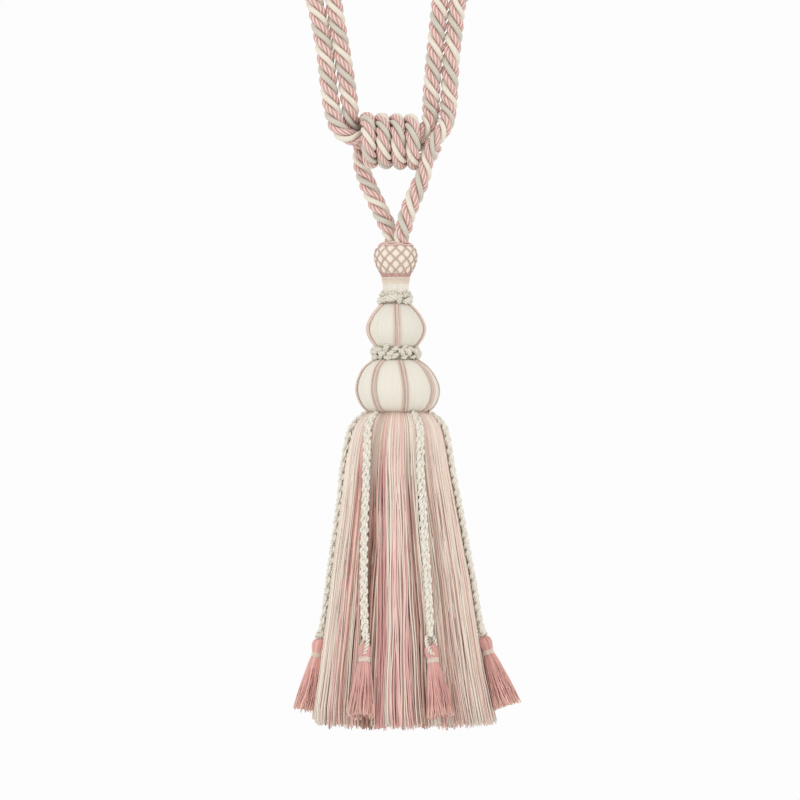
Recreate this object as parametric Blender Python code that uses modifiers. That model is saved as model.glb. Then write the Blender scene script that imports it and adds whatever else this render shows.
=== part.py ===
"""A curtain tieback with a large tassel.

One twisted rope carries it. Both of its ends are bound into the head of the tassel. From there it makes a small V,
four wraps round its own two middle runs, and two long eyes that go over the hook on the wall. Under the rope come a
netted ball, a narrow collar and neck, and two wound bulbs with a looped ruff above each. A skirt of bullion locks
hangs from the lower bulb, with six plaited cords laid over it, each ending in a small tassel.

The origin is level with the top of the eyes, on the axis of the tassel. The front faces -Y.
"""

import math

import bmesh
import bpy
import numpy as np
from mathutils import Vector

MM = 0.001

# The rope: four strands laid to the left, and one full turn of a strand for each ROPE_LAY.
ROPE_DIAMETER = 10.3 * MM
ROPE_LAY = 26.7 * MM
ROPE_STRANDS = 4
ROPE_HOLLOW = 0.80
STEPS_PER_LAY = 5.5

# The knot: the rope wraps round two runs of itself, along X.
WRAPS = 4
WRAP_PITCH = 9.05 * MM
WRAP_FIRST_X = -17.4 * MM
WRAP_HALF_HEIGHT = 13.0 * MM
WRAP_HALF_DEPTH = 14.6 * MM
WRAP_AXIS_Z = -170.5 * MM
WRAP_DROP = 0.04
WRAP_LEAN = 0.93 * MM
WRAP_SQUEEZE = 0.85

# The turned pieces of the head, from the top down: heights and radii in millimetres.
GAP = 0.3 * MM
NET_COLUMNS = 20
NET_HEIGHT = 0.55 * MM
RUFF_HEIGHT = 1.5 * MM

# The bulbs: top, widest height and bottom, the radius at each of the three, how far the ends are drawn in, and the
# pairs of cords laid over them: how many, the angle of the first, and how far short of the bottom row they end.
BULBS = {
    "upper_bulb": dict(top=-272.0, wide=-286.4, bottom=-297.0, r_top=8.6, r_wide=18.7, r_bottom=11.6, point=2.1,
                       ribs=5, first_rib=3.5, rib_short=0.95),
    "lower_bulb": dict(top=-306.4, wide=-323.2, bottom=-337.2, r_top=13.6, r_wide=25.7, r_bottom=17.6, point=1.6,
                       ribs=8, first_rib=10.0, rib_short=0.5),
}
BULB_ROWS = 8
RIB_WIDTH = 4.3 * MM
RIB_DEPTH = 1.7 * MM
RIB_SHORT_OF_TOP = 0.45

# The skirt: how wide its outer ring of locks is at each depth under the head, in millimetres.
SKIRT_TOP = -337.6 * MM
SKIRT_HEAD = 2.2 * MM
SKIRT_LENGTH = 190.0 * MM
SKIRT_LEAN = 4.8 * MM
SKIRT_DEPTHS = (0.0, 5.6, 14.9, 27.3, 42.8, 74.0, 98.0, 117.0, 142.0, 173.0, 192.0)
SKIRT_RADII = (18.6, 26.4, 29.4, 31.5, 33.8, 38.4, 42.2, 44.8, 48.4, 53.0, 56.0)
LOCK_FILL = 0.87
LOCK_UNEVEN = 1.8 * MM

# The plaited cords and the small tassels on their ends.
PLAIT_DIAMETER = 5.6 * MM
PLAIT_PITCH = 7.6 * MM
PLAIT_SWING = 0.45 * MM
PLAIT_OFF_SKIRT = 4.0 * MM
PLAIT_HEAD_OFF = 1.8 * MM
SMALL_SIDES = 8
SMALL_ROOT = -10.9 * MM

CREAM = (238, 232, 216)
ROPE_PINK = (224, 190, 180)
DUSTY_PINK = (205, 145, 140)
PINK_TAN = (205, 172, 162)
GREY_CREAM = (205, 203, 190)
SKIRT_PINK = (220, 188, 176)


# ---------------------------------------------------------------------------------------------------- the workshop


def clear_scene():
    """Leaves nothing of what the file held before."""
    for old in list(bpy.data.objects):
        bpy.data.objects.remove(old, do_unlink=True)


def new_collection(name):
    """A collection of this name in the scene."""
    collection = bpy.data.collections.new(name)
    bpy.context.scene.collection.children.link(collection)
    return collection


def linear(channel):
    """One channel of a screen colour, 0 to 255, as the linear value that a shader takes."""
    value = channel / 255
    return value / 12.92 if value <= 0.04045 else ((value + 0.055) / 1.055) ** 2.4


def yarn(name, colour, roughness=0.85):
    """A matt yarn of one colour."""
    material = bpy.data.materials.new(name)
    material.use_nodes = True
    shader = material.node_tree.nodes["Principled BSDF"]
    shader.inputs["Base Color"].default_value = (*[linear(c) for c in colour], 1.0)
    shader.inputs["Roughness"].default_value = roughness
    shader.inputs["Metallic"].default_value = 0.0
    return material


def add_object(name, data, collection, material=None):
    """A new object in the collection, with its own material."""
    obj = bpy.data.objects.new(name, data)
    collection.objects.link(obj)
    if material and not data.materials:
        data.materials.append(material)
    return obj


def baked(obj):
    """The same object, with its modifiers applied to its mesh."""
    graph = bpy.context.evaluated_depsgraph_get()
    mesh = bpy.data.meshes.new_from_object(obj.evaluated_get(graph))
    obj.modifiers.clear()
    obj.data = mesh
    return obj


def turned(name, profile, columns, collection, material, closed=False):
    """A turned piece: its profile, from top to bottom down the outer side, taken once round Z by a Screw."""
    mesh = bpy.data.meshes.new(name)
    count = len(profile)
    edges = [(i, i + 1) for i in range(count - 1)]
    if closed:
        edges.append((count - 1, 0))
    mesh.from_pydata([(r * MM, 0.0, z * MM) for r, z in profile], edges, [])
    obj = add_object(name, mesh, collection, material)
    screw = obj.modifiers.new("turn", "SCREW")
    screw.steps = columns
    screw.render_steps = columns
    screw.use_merge_vertices = True
    screw.merge_threshold = 0.00001
    screw.use_smooth_shade = True
    return obj


def faced_out(name, work):
    """A mesh of this closed shape, with all of its faces pointing out."""
    bmesh.ops.recalc_face_normals(work, faces=work.faces)
    if work.calc_volume(signed=True) < 0:
        bmesh.ops.reverse_faces(work, faces=work.faces)
    mesh = bpy.data.meshes.new(name)
    work.to_mesh(mesh)
    work.free()
    return mesh


def raise_checks(obj, rows, columns, height):
    """Raises every second point of a turned mesh, as on a chessboard, and folds each face between raised points.

    The folds are the cords of a net, or with more height the loops of a ruff.
    """
    work = bmesh.new()
    work.from_mesh(obj.data)
    raised = set()
    for point in work.verts:
        radius = math.hypot(point.co.x, point.co.y)
        row = min(range(len(rows)), key=lambda i: abs(rows[i] * MM - point.co.z))
        column = round(math.atan2(point.co.y, point.co.x) / math.tau * columns)
        if radius > 0.5 * MM and 0 < row < len(rows) - 1 and (row + column) % 2 == 0:
            raised.add(point)
            point.co.x *= 1 + height / radius
            point.co.y *= 1 + height / radius
    for face in list(work.faces):
        high = [point for point in face.verts if point in raised]
        if len(face.verts) == 4 and len(high) == 2:
            bmesh.utils.face_split(face, high[0], high[1])
    work.to_mesh(obj.data)
    work.free()


def smooth_route(points, step):
    """Evenly spaced points on the natural cubic spline through the route's own points, and its length.

    Any further columns, such as the squeeze of the rope, go along with x, y and z.
    """
    points = np.array(points)
    gaps = np.linalg.norm(np.diff(points[:, :3], axis=0), axis=1)
    knots = np.concatenate([[0.0], np.cumsum(gaps)])
    count = len(points)
    system = np.eye(count)
    right = np.zeros_like(points)
    slopes = np.diff(points, axis=0) / gaps[:, None]
    for i in range(1, count - 1):
        system[i, i - 1:i + 2] = (gaps[i - 1], 2 * (gaps[i - 1] + gaps[i]), gaps[i])
        right[i] = 6 * (slopes[i] - slopes[i - 1])
    bends = np.linalg.solve(system, right)
    fine = np.linspace(0, knots[-1], 40 * count)
    span = np.clip(np.searchsorted(knots, fine, side="right") - 1, 0, count - 2)
    gap = gaps[span][:, None]
    before = (knots[span + 1] - fine)[:, None]
    after = (fine - knots[span])[:, None]
    places = (
        (bends[span] * before**3 + bends[span + 1] * after**3) / (6 * gap)
        + (points[span] / gap - bends[span] * gap / 6) * before
        + (points[span + 1] / gap - bends[span + 1] * gap / 6) * after
    )
    run = np.concatenate([[0.0], np.cumsum(np.linalg.norm(np.diff(places[:, :3], axis=0), axis=1))])
    wanted = np.linspace(0, run[-1], round(run[-1] / step) + 1)
    even = np.stack([np.interp(wanted, run, column) for column in places.T], axis=1)
    return even, run[-1]


def section(name, points, guides):
    """A closed flat outline that a curve carries along itself."""
    curve = bpy.data.curves.new(name, "CURVE")
    curve.dimensions = "2D"
    spline = curve.splines.new("POLY")
    spline.points.add(len(points) - 1)
    for point, (x, y) in zip(spline.points, reversed(points)):
        point.co = (x, y, 0.0, 1.0)
    spline.use_cyclic_u = True
    guide = bpy.data.objects.new(name, curve)
    guide.hide_render = True
    guide.display_type = "WIRE"
    guides.objects.link(guide)
    return guide


# ------------------------------------------------------------------------------------------------------- the rope

# The rope's route, in millimetres: x, y, z and how far the knot squeezes it, from its left end to its right end.
LEFT_LEG = (
    (-3.2, 4.5, -231.2, 0.84),
    (-3.4, 4.7, -229.0, 0.9),
    (-4.8, 5.3, -225.0, 0.97),
    (-7.4, 6.2, -219.5, 1.0),
    (-11.8, 7.4, -210.2, 1.0),
    (-16.1, 9.0, -201.5, 1.0),
    (-19.5, 11.2, -193.4, 0.97),
    (-22.0, 13.3, -186.3, 0.9),
)
BACK_RUN = (
    (14.3, 9.0, -182.0, 0.83),
    (19.2, 13.0, -179.8, 0.83),
    (23.1, 11.5, -175.2, 0.83),
    (21.2, 6.2, -172.4, 0.83),
    (14.9, 4.1, -172.4, 0.83),
    (0.0, 4.2, -172.4, 0.83),
    (-13.6, 4.2, -172.2, 0.83),
    (-19.8, 4.3, -171.7, 0.83),
)
LEFT_EYE = (
    (-24.8, 5.0, -169.3, 0.88),
    (-27.7, 4.0, -163.7, 0.92),
    (-28.6, 1.9, -157.8, 0.95),
    (-28.8, 0.3, -151.6, 0.98),
    (-29.6, 0.0, -144.8, 1.0),
    (-33.3, 0.0, -120.0, 1.0),
    (-37.6, 0.0, -95.2, 1.0),
    (-39.4, 0.0, -82.8, 1.0),
    (-40.1, 0.0, -74.1, 1.0),
    (-38.8, 0.0, -62.9, 1.0),
    (-35.3, 0.0, -49.3, 1.0),
    (-32.5, 0.0, -35.6, 1.0),
    (-33.4, 0.0, -22.0, 1.0),
    (-40.3, 0.0, -10.2, 1.0),
    (-53.0, 0.0, -5.3, 1.0),
    (-66.0, 0.0, -9.9, 1.0),
    (-73.5, 0.0, -21.4, 1.0),
    (-73.7, 0.0, -35.0, 1.0),
    (-69.3, 0.0, -49.3, 1.0),
    (-62.9, 0.0, -62.3, 1.0),
    (-56.1, 0.0, -74.1, 1.0),
    (-51.2, 0.0, -84.0, 1.0),
    (-48.4, 0.0, -95.2, 1.0),
    (-44.1, 0.0, -120.0, 1.0),
    (-41.2, 0.0, -144.8, 1.0),
    (-39.4, -0.9, -154.1, 0.98),
    (-36.5, -4.0, -162.3, 0.95),
    (-31.0, -5.6, -167.5, 0.91),
    (-24.8, -4.7, -168.6, 0.86),
)
FRONT_RUN = (
    (-19.2, -4.3, -168.7, 0.83),
    (-13.6, -4.2, -168.8, 0.83),
    (0.0, -4.2, -168.8, 0.83),
    (6.8, -4.2, -168.7, 0.83),
)
RIGHT_EYE = (
    (12.7, -4.1, -167.7, 0.85),
    (17.2, -3.1, -164.3, 0.9),
    (20.0, -1.2, -158.4, 0.95),
    (21.0, 0.0, -151.9, 1.0),
    (21.2, 0.0, -144.8, 1.0),
    (23.1, 0.0, -120.0, 1.0),
    (25.6, 0.0, -95.2, 1.0),
    (26.7, 0.0, -84.0, 1.0),
    (26.5, 0.0, -74.1, 1.0),
    (24.2, 0.0, -62.3, 1.0),
    (19.6, 0.0, -49.3, 1.0),
    (16.4, 0.0, -35.6, 1.0),
    (17.5, 0.0, -22.0, 1.0),
    (24.5, 0.0, -10.2, 1.0),
    (37.5, 0.0, -5.3, 1.0),
    (50.5, 0.0, -9.9, 1.0),
    (58.0, 0.0, -21.4, 1.0),
    (58.7, 0.0, -35.0, 1.0),
    (55.2, 0.0, -49.3, 1.0),
    (49.6, 0.0, -62.3, 1.0),
    (42.8, 0.0, -74.1, 1.0),
    (37.9, 0.0, -84.0, 1.0),
    (36.3, 0.0, -95.2, 1.0),
    (33.6, 0.0, -120.0, 1.0),
    (32.2, -0.3, -144.8, 1.0),
    (31.4, -2.2, -152.8, 1.0),
    (29.6, -5.9, -160.9, 0.95),
)
RIGHT_LEG = (
    (25.4, -9.4, -168.0, 0.87),
    (21.1, -10.3, -174.2, 0.8),
    (18.7, -9.8, -180.7, 0.77),
    (17.7, -8.7, -186.9, 0.84),
    (15.4, -7.4, -194.4, 0.95),
    (12.1, -6.3, -201.8, 1.0),
    (8.4, -5.8, -210.5, 1.0),
    (5.3, -5.5, -219.8, 1.0),
    (3.6, -5.0, -226.2, 0.97),
    (2.9, -4.6, -229.0, 0.9),
    (2.9, -4.5, -231.2, 0.84),
)


def wraps():
    """The coils of the knot, from the back of the first, up over the top and down the front of each."""
    points = []
    for degrees in range(165, 360 * WRAPS + 105, 15):
        turn = math.radians(degrees)
        along = WRAP_FIRST_X + WRAP_PITCH * (degrees / 360 - 1)
        x = along - WRAP_LEAN * math.sin(turn)
        y = -WRAP_HALF_DEPTH * math.cos(turn)
        z = WRAP_AXIS_Z - WRAP_DROP * along - WRAP_HALF_HEIGHT * math.sin(turn)
        points.append((x, y, z, WRAP_SQUEEZE))
    return points


def rope_route():
    """All of the rope's points in metres, with its squeeze."""
    def metres(rows):
        return [(x * MM, y * MM, z * MM, squeeze) for x, y, z, squeeze in rows]

    return (
        metres(LEFT_LEG) + wraps() + metres(BACK_RUN) + metres(LEFT_EYE)
        + metres(FRONT_RUN) + metres(RIGHT_EYE) + metres(RIGHT_LEG)
    )


def rope(parts, guides):
    """The rope: a four-lobed section carried along the route, turned a little further at each step."""
    outline = []
    for corner in range(2 * ROPE_STRANDS):
        angle = math.tau * corner / (2 * ROPE_STRANDS)
        radius = ROPE_DIAMETER / 2 * (1.0 if corner % 2 == 0 else ROPE_HOLLOW)
        outline.append((radius * math.cos(angle), radius * math.sin(angle)))
    places, length = smooth_route(rope_route(), ROPE_LAY / STEPS_PER_LAY)
    curve = bpy.data.curves.new("twisted_rope", "CURVE")
    curve.dimensions = "3D"
    curve.bevel_mode = "OBJECT"
    curve.bevel_object = section("rope_section", outline, guides)
    curve.use_fill_caps = True
    spline = curve.splines.new("POLY")
    spline.points.add(len(places) - 1)
    turn = math.tau * length / (len(places) - 1) / ROPE_LAY
    for index, (point, (x, y, z, squeeze)) in enumerate(zip(spline.points, places)):
        point.co = (x, y, z, 1.0)
        point.radius = squeeze
        point.tilt = -turn * index
    spline.use_smooth = True
    add_object("twisted_rope", curve, parts, yarn("rope_yarn", ROPE_PINK))


# ------------------------------------------------------------------------------------- the turned head of the tassel


def netted(name, profile, columns, height, parts, material):
    """A turned piece with every second point raised."""
    obj = baked(turned(name, profile, columns, parts, material))
    raise_checks(obj, [z for _, z in profile], columns, height)
    obj.data.shade_smooth()


def net_ball(parts):
    """The ball that covers the rope's ends, in a diamond net of fine cord."""
    profile = (
        (0.0, -232.2), (8.4, -232.3), (10.9, -233.9), (12.5, -236.4), (13.2, -239.6), (13.1, -243.0),
        (12.2, -246.3), (10.8, -249.3), (9.3, -251.8), (8.3, -253.6), (0.0, -253.8),
    )
    netted("net_ball", profile, NET_COLUMNS, NET_HEIGHT, parts, yarn("ball_yarn", CREAM))


def collar_and_neck(parts):
    """A narrow collar of laid cord, and the plain wound neck under it."""
    collar = ((0.0, -254.2), (7.9, -254.2), (8.8, -255.3), (8.3, -256.4), (8.8, -257.5), (7.9, -258.6), (0.0, -258.6))
    turned("collar", collar, 16, parts, yarn("collar_yarn", PINK_TAN))
    neck = ((0.0, -259.0), (7.9, -259.0), (8.3, -260.2), (8.3, -262.6), (7.9, -263.6), (0.0, -263.6))
    turned("neck", neck, 16, parts, yarn("neck_yarn", CREAM))


def ruffs(parts):
    """The two ruffs of small twisted loops."""
    upper = ((0.0, -264.0), (8.2, -264.1), (9.6, -265.7), (10.1, -268.1), (9.8, -270.3), (8.0, -271.6), (0.0, -271.6))
    netted("upper_ruff", upper, 16, RUFF_HEIGHT, parts, yarn("upper_ruff_yarn", GREY_CREAM))
    lower = (
        (0.0, -297.4), (12.4, -297.6), (14.6, -298.9), (15.4, -301.1), (15.5, -303.4), (14.9, -305.2),
        (12.6, -306.1), (0.0, -306.1),
    )
    netted("lower_ruff", lower, 26, RUFF_HEIGHT, parts, yarn("lower_ruff_yarn", GREY_CREAM))


def bulb_profile(bulb):
    """The bulb's outer side as quarter ellipses above and below its widest point, drawn in a little by its point."""
    rows = []
    for row in range(BULB_ROWS):
        turn = math.pi * (row / (BULB_ROWS - 1) - 0.5)
        upper = turn < 0
        end_radius = bulb["r_top"] if upper else bulb["r_bottom"]
        end_height = bulb["top"] if upper else bulb["bottom"]
        radius = end_radius + (bulb["r_wide"] - end_radius) * max(math.cos(turn), 0.0) ** bulb["point"]
        height = bulb["wide"] + (end_height - bulb["wide"]) * abs(math.sin(turn))
        rows.append((radius, height))
    return rows


def bulb(name, parts, guides):
    """A bulb wound with fine thread, and the pairs of cords laid over it from top to bottom."""
    shape = BULBS[name]
    rows = bulb_profile(shape)
    columns = 4 * shape["ribs"] if shape["ribs"] > 6 else 6 * shape["ribs"]
    profile = [(0.0, shape["top"])] + rows + [(0.0, shape["bottom"])]
    body = turned(name, profile, columns, parts, yarn(name + "_thread", CREAM))
    first = math.radians(shape["first_rib"] - 90)
    body.rotation_euler.z = first
    half, deep = RIB_WIDTH / 2, RIB_DEPTH / 2
    double = ((deep, half), (-deep, 0.75 * half), (-0.3 * deep, 0.0), (-deep, -0.75 * half), (deep, -half))
    outline = section(name + "_rib_section", double, guides)
    material = yarn(name + "_rib_yarn", PINK_TAN)
    curve = rib_curve(name + "_rib", rows, shape["rib_short"], outline)
    curve.materials.append(material)
    for number in range(shape["ribs"]):
        rib = add_object(f"{name}_rib_{number + 1}", curve, parts)
        rib.rotation_euler = (math.pi / 2, 0.0, first + math.tau * number / shape["ribs"])


def rib_curve(name, rows, bottom_short, outline):
    """A flat curve that follows the side of the bulb, far enough out for the rib to lie on it."""
    curve = bpy.data.curves.new(name, "CURVE")
    curve.dimensions = "2D"
    curve.bevel_mode = "OBJECT"
    curve.bevel_object = outline
    curve.use_fill_caps = True
    places = [Vector(row) * MM for row in rows]
    places[0] = places[0].lerp(places[1], RIB_SHORT_OF_TOP)
    places[-1] = places[-1].lerp(places[-2], bottom_short)
    spline = curve.splines.new("POLY")
    spline.points.add(len(places) - 1)
    for index, point in enumerate(spline.points):
        along = places[min(index + 1, len(places) - 1)] - places[max(index - 1, 0)]
        outward = Vector((-along.y, along.x)).normalized() * (RIB_DEPTH / 2 + GAP)
        point.co = (*(places[index] + outward), 0.0, 1.0)
    return curve


# ------------------------------------------------------------------------------------------------------ the skirt

# The rings of locks, from the outside in: inner and outer radius at the root in millimetres, the locks in the ring,
# and the depths under the head at which they bend.
RING_COLUMNS = ("inner", "outer", "locks", "bends")
RINGS = (
    (14.2, 18.6, 40, (5.6, 14.9, 42.8, 117.0, 190.0)),
    (9.6, 13.8, 28, (14.9, 74.0, 190.0)),
    (5.4, 9.2, 18, (14.9, 190.0)),
    (1.6, 5.0, 8, (14.9, 190.0)),
)


def skirt_radius(depth):
    """The radius of the skirt's outer ring at this depth under the head, both in millimetres."""
    return float(np.interp(depth, SKIRT_DEPTHS, SKIRT_RADII))


def skirt_lean(depth):
    """How far to the right the skirt hangs at this depth in millimetres, in metres."""
    return SKIRT_LEAN * depth * MM / SKIRT_LENGTH


def uneven(angle, ring):
    """A number from -1 to 1 that looks random from one lock to the next and is the same each time."""
    return math.sin(37.0 * angle + 11.0 * ring) * math.cos(23.0 * angle - 5.0 * ring)


def skirt_head(work):
    """The flat round head of the skirt. Its underside has one four-sided field for each lock, ring by ring."""
    loops = []
    bottom = SKIRT_TOP - SKIRT_HEAD
    for inner, outer, locks, _ in RINGS:
        for radius in (outer, inner):
            ring = bmesh.ops.create_circle(work, segments=locks, radius=radius * MM)["verts"]
            bmesh.ops.translate(work, verts=ring, vec=(0, 0, bottom))
            loops.append(list({edge for point in ring for edge in point.link_edges}))
    top = bmesh.ops.create_circle(work, segments=RINGS[0][2], radius=RINGS[0][1] * MM, cap_ends=True)["verts"]
    bmesh.ops.translate(work, verts=top, vec=(0, 0, SKIRT_TOP))
    rim = list({edge for point in top for edge in point.link_edges})
    bmesh.ops.bridge_loops(work, edges=rim + loops[0])
    fields = [bmesh.ops.bridge_loops(work, edges=a + b)["faces"] for a, b in zip(loops[::2], loops[1::2])]
    for outer, inner in zip(loops[1::2], loops[2::2]):
        bmesh.ops.triangle_fill(work, use_beauty=True, edges=outer + inner)
    bmesh.ops.contextual_create(work, geom=loops[-1])
    return fields


def grow_lock(work, field, ring, bends):
    """Draws one lock down from its field, a bend at a time, wider with the skirt and clear of its neighbours."""
    centre = field.calc_center_median()
    angle = math.atan2(centre.y, centre.x)
    roots = [point.co.copy() for point in field.verts]
    for number, depth in enumerate(bends):
        extra = LOCK_UNEVEN * uneven(angle, ring) if number == len(bends) - 1 else 0.0
        made = bmesh.ops.extrude_discrete_faces(work, faces=[field])["faces"]
        field = made[0]
        flare = skirt_radius(depth) / SKIRT_RADII[0]
        for point, root in zip(field.verts, roots):
            place = centre + (root - centre) * LOCK_FILL
            point.co.x = place.x * flare + skirt_lean(depth)
            point.co.y = place.y * flare
            point.co.z = SKIRT_TOP - SKIRT_HEAD - depth * MM - extra


def skirt(parts):
    """The bullion skirt: rings of locks that stand apart, but for their roots in one head."""
    work = bmesh.new()
    for ring, fields in enumerate(skirt_head(work)):
        for field in fields:
            grow_lock(work, field, ring, RINGS[ring][RING_COLUMNS.index("bends")])
    add_object("skirt", faced_out("skirt", work), parts, yarn("skirt_yarn", SKIRT_PINK))


# --------------------------------------------------------------------------- the plaited cords and small tassels

# Each plaited cord: its name, its angles from the front at even steps down it, positive to the right, the height of
# its end in millimetres, and the direction in which its small tassel leans out, and how far.
PLAITS = (
    ("front_left", (-43, -35, -33.8, -34, -33.3, -32.6, -33, -30.3, -25.8), -479.0, -10.5, 15.4),
    ("front_right", (27, 23.4, 21.4, 20.9, 20), -479.4, 32.5, 15.2),
    ("right", (78, 79, 79.5, 80, 80), -476.5, 82, 18.4),
    ("back_right", (137, 140, 142), -479.0, 142, 14.5),
    ("back_left", (-148, -149.3, -150), -479.5, -150, 14.5),
    ("left", (-98, -94.5, -92, -90.5, -90), -478.1, -90, 14.5),
)
PLAIT_START = -338.5


def plait_route(angles, end):
    """The places of one plaited cord down the outside of the skirt, a crossing of its strands apart."""
    count = round((PLAIT_START - end) * MM / PLAIT_PITCH)
    places = []
    for index in range(count + 1):
        share = index / count
        height = PLAIT_START + (end - PLAIT_START) * share
        depth = max(SKIRT_TOP / MM - SKIRT_HEAD / MM - height, 0.0)
        angle = math.radians(np.interp(share, np.linspace(0, 1, len(angles)), angles))
        radius = skirt_radius(depth) * MM + PLAIT_OFF_SKIRT + 0.7 * MM * share
        if index == 0:
            radius += PLAIT_HEAD_OFF
        swing = PLAIT_SWING * (1 if index % 2 else -1) if 0 < index < count else 0.0
        x = radius * math.sin(angle) + swing * math.cos(angle) + skirt_lean(depth)
        y = -radius * math.cos(angle) + swing * math.sin(angle)
        places.append((x, y, height * MM))
    return places


def plait(name, route, parts, material):
    """A plaited cord: a tube whose middle swings from side to side as the strands cross."""
    curve = bpy.data.curves.new(name, "CURVE")
    curve.dimensions = "3D"
    curve.bevel_depth = PLAIT_DIAMETER / 2
    curve.bevel_resolution = 2
    curve.use_fill_caps = True
    spline = curve.splines.new("POLY")
    spline.points.add(len(route) - 1)
    for point, place in zip(spline.points, route):
        point.co = (*place, 1.0)
    add_object(name, curve, parts, material)


def small_tassel_mesh(parts, material):
    """A small tassel, from its round head down: a narrow neck, then one ring of locks. Its top is at the origin."""
    profile = (
        (0.0, 0.0), (2.4, -0.2), (4.0, -2.0), (4.1, -4.6), (3.0, -7.0), (2.5, -7.6), (2.5, SMALL_ROOT / MM),
        (0.9, SMALL_ROOT / MM), (0.0, SMALL_ROOT / MM),
    )
    body = baked(turned("small_tassel", profile, SMALL_SIDES, parts, material))
    work = bmesh.new()
    work.from_mesh(body.data)
    bpy.data.objects.remove(body)
    underside = [face for face in work.faces if abs(face.calc_center_median().z - SMALL_ROOT) < 0.1 * MM]
    for field in underside:
        if len(field.verts) == 4:
            grow_small_lock(work, field)
    mesh = faced_out("small_tassel", work)
    mesh.materials.append(material)
    return mesh


def grow_small_lock(work, field):
    """One lock of a small tassel, in two bends, to a ragged end."""
    centre = field.calc_center_median()
    roots = [point.co.copy() for point in field.verts]
    ragged = 0.8 * uneven(math.atan2(centre.y, centre.x), 1)
    for flare, height in ((2.35, -22.0), (3.35, -44.0 + ragged)):
        field = bmesh.ops.extrude_discrete_faces(work, faces=[field])["faces"][0]
        for point, root in zip(field.verts, roots):
            place = centre + (root - centre) * LOCK_FILL
            point.co = (place.x * flare, place.y * flare, height * MM)


def cords_and_small_tassels(parts):
    """The six plaited cords, each with its small tassel and the band that binds it."""
    cord_yarn = yarn("plait_yarn", CREAM)
    mesh = small_tassel_mesh(parts, yarn("small_tassel_yarn", DUSTY_PINK))
    band_yarn = yarn("small_band_yarn", (235, 215, 200))
    ring = ((2.85, -7.95), (3.5, -7.95), (3.7, -9.3), (3.5, -10.7), (2.85, -10.7))
    for name, angles, end, direction, lean in PLAITS:
        route = plait_route(angles, end)
        plait("plait_" + name, route, parts, cord_yarn)
        tassel = add_object("small_tassel_" + name, mesh, parts)
        tassel.location = Vector(route[-1]) + Vector((0, 0, -0.9 * MM))
        tassel.rotation_euler = (-math.radians(lean), 0.0, math.radians(direction))
        band = turned("small_band_" + name, ring, SMALL_SIDES, parts, band_yarn, closed=True)
        band.location = tassel.location
        band.rotation_euler = tassel.rotation_euler


clear_scene()
tieback = new_collection("curtain_tieback_tassel")
outlines = new_collection("sections")
rope(tieback, outlines)
net_ball(tieback)
collar_and_neck(tieback)
ruffs(tieback)
bulb("upper_bulb", tieback, outlines)
bulb("lower_bulb", tieback, outlines)
skirt(tieback)
cords_and_small_tassels(tieback)
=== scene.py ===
"""The finished look of a curtain tieback tassel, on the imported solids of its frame.

It goes together as its maker makes it: the rope and its knot first, then the netted ball, the collar and
neck, the two wound bulbs with their ruffs and laid cords, the skirt of cut yarns, and last the plaited
cords with their small tassels. Lengths are in metres, and those of the tieback are written as so many MM.
Angles go round the tassel from its front, positive to the right of the photograph.
"""

import math

import bpy
import numpy as np
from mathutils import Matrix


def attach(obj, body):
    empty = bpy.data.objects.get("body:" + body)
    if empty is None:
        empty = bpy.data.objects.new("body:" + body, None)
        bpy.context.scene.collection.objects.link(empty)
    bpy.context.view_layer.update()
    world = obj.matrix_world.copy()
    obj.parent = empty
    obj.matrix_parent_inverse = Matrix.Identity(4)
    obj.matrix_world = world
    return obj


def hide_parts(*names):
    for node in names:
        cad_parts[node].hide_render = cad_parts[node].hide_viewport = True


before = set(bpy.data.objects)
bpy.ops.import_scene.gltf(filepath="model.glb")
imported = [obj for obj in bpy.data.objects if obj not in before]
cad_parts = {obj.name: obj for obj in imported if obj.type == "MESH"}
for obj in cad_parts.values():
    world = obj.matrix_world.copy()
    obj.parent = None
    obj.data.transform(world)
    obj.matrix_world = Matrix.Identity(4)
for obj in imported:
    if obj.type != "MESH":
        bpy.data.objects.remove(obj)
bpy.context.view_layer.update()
MM = 0.001

# ----------------------------------------------------------------------------------------------- The camera
# The tieback was photographed square on from its front, at its own middle height, through a long lens. The
# picture stops just above the knot, so the two eyes that go over the hook stand above its upper edge.

PHOTO_WIDTH = 496 * MM
PHOTO_CENTRE_X = 1.9 * MM
PHOTO_CENTRE_Z = -330.8 * MM
CAMERA_AWAY = 2.6

lens = bpy.data.cameras.new("camera")
lens.sensor_width = 36.0
lens.lens = lens.sensor_width * CAMERA_AWAY / PHOTO_WIDTH
lens.clip_start = 0.05
camera = bpy.data.objects.new("camera", lens)
camera.location = (PHOTO_CENTRE_X, -CAMERA_AWAY, PHOTO_CENTRE_Z)
camera.rotation_euler = (math.pi / 2, 0.0, 0.0)
bpy.context.scene.collection.objects.link(camera)
bpy.context.scene.camera = camera

# ------------------------------------------------------------------------------------------------- The rope
# One laid rope of four strands: a cream one, a grey-beige one, and between them two fatter ones of mixed
# pink and white yarns. The strands turn to the left and their yarns turn back, so these lie almost
# straight. Both ends are bound into the ball. Between them it makes the knot's wraps and the two eyes.

ROPE_DIAMETER = 11.2 * MM
ROPE_LAY = 26.7 * MM
ROPE_STEP = 1.31 * MM
ROPE_INTO_BALL = 2.5 * MM
STRAND_YARNS = 12
YARN_LEAN = math.radians(8)
YARN_GROOVE = 0.91
WIDE_STRAND = math.radians(48.5)
NARROW_STRAND = math.radians(41.5)

# How far along the rope, in millimetres, its cream strand lies squarely in front wherever the photograph
# shows it.
CREAM_IN_FRONT = (
    27.5, 52.5, 112.5, 205.5, 296.0, 386.5, 500.5, 529.5, 557.0, 755.0, 783.5,
    810.0, 840.0, 913.5, 939.5, 965.5, 1157.0, 1183.5, 1213.5, 1260.5, 1289.5,
)

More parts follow.
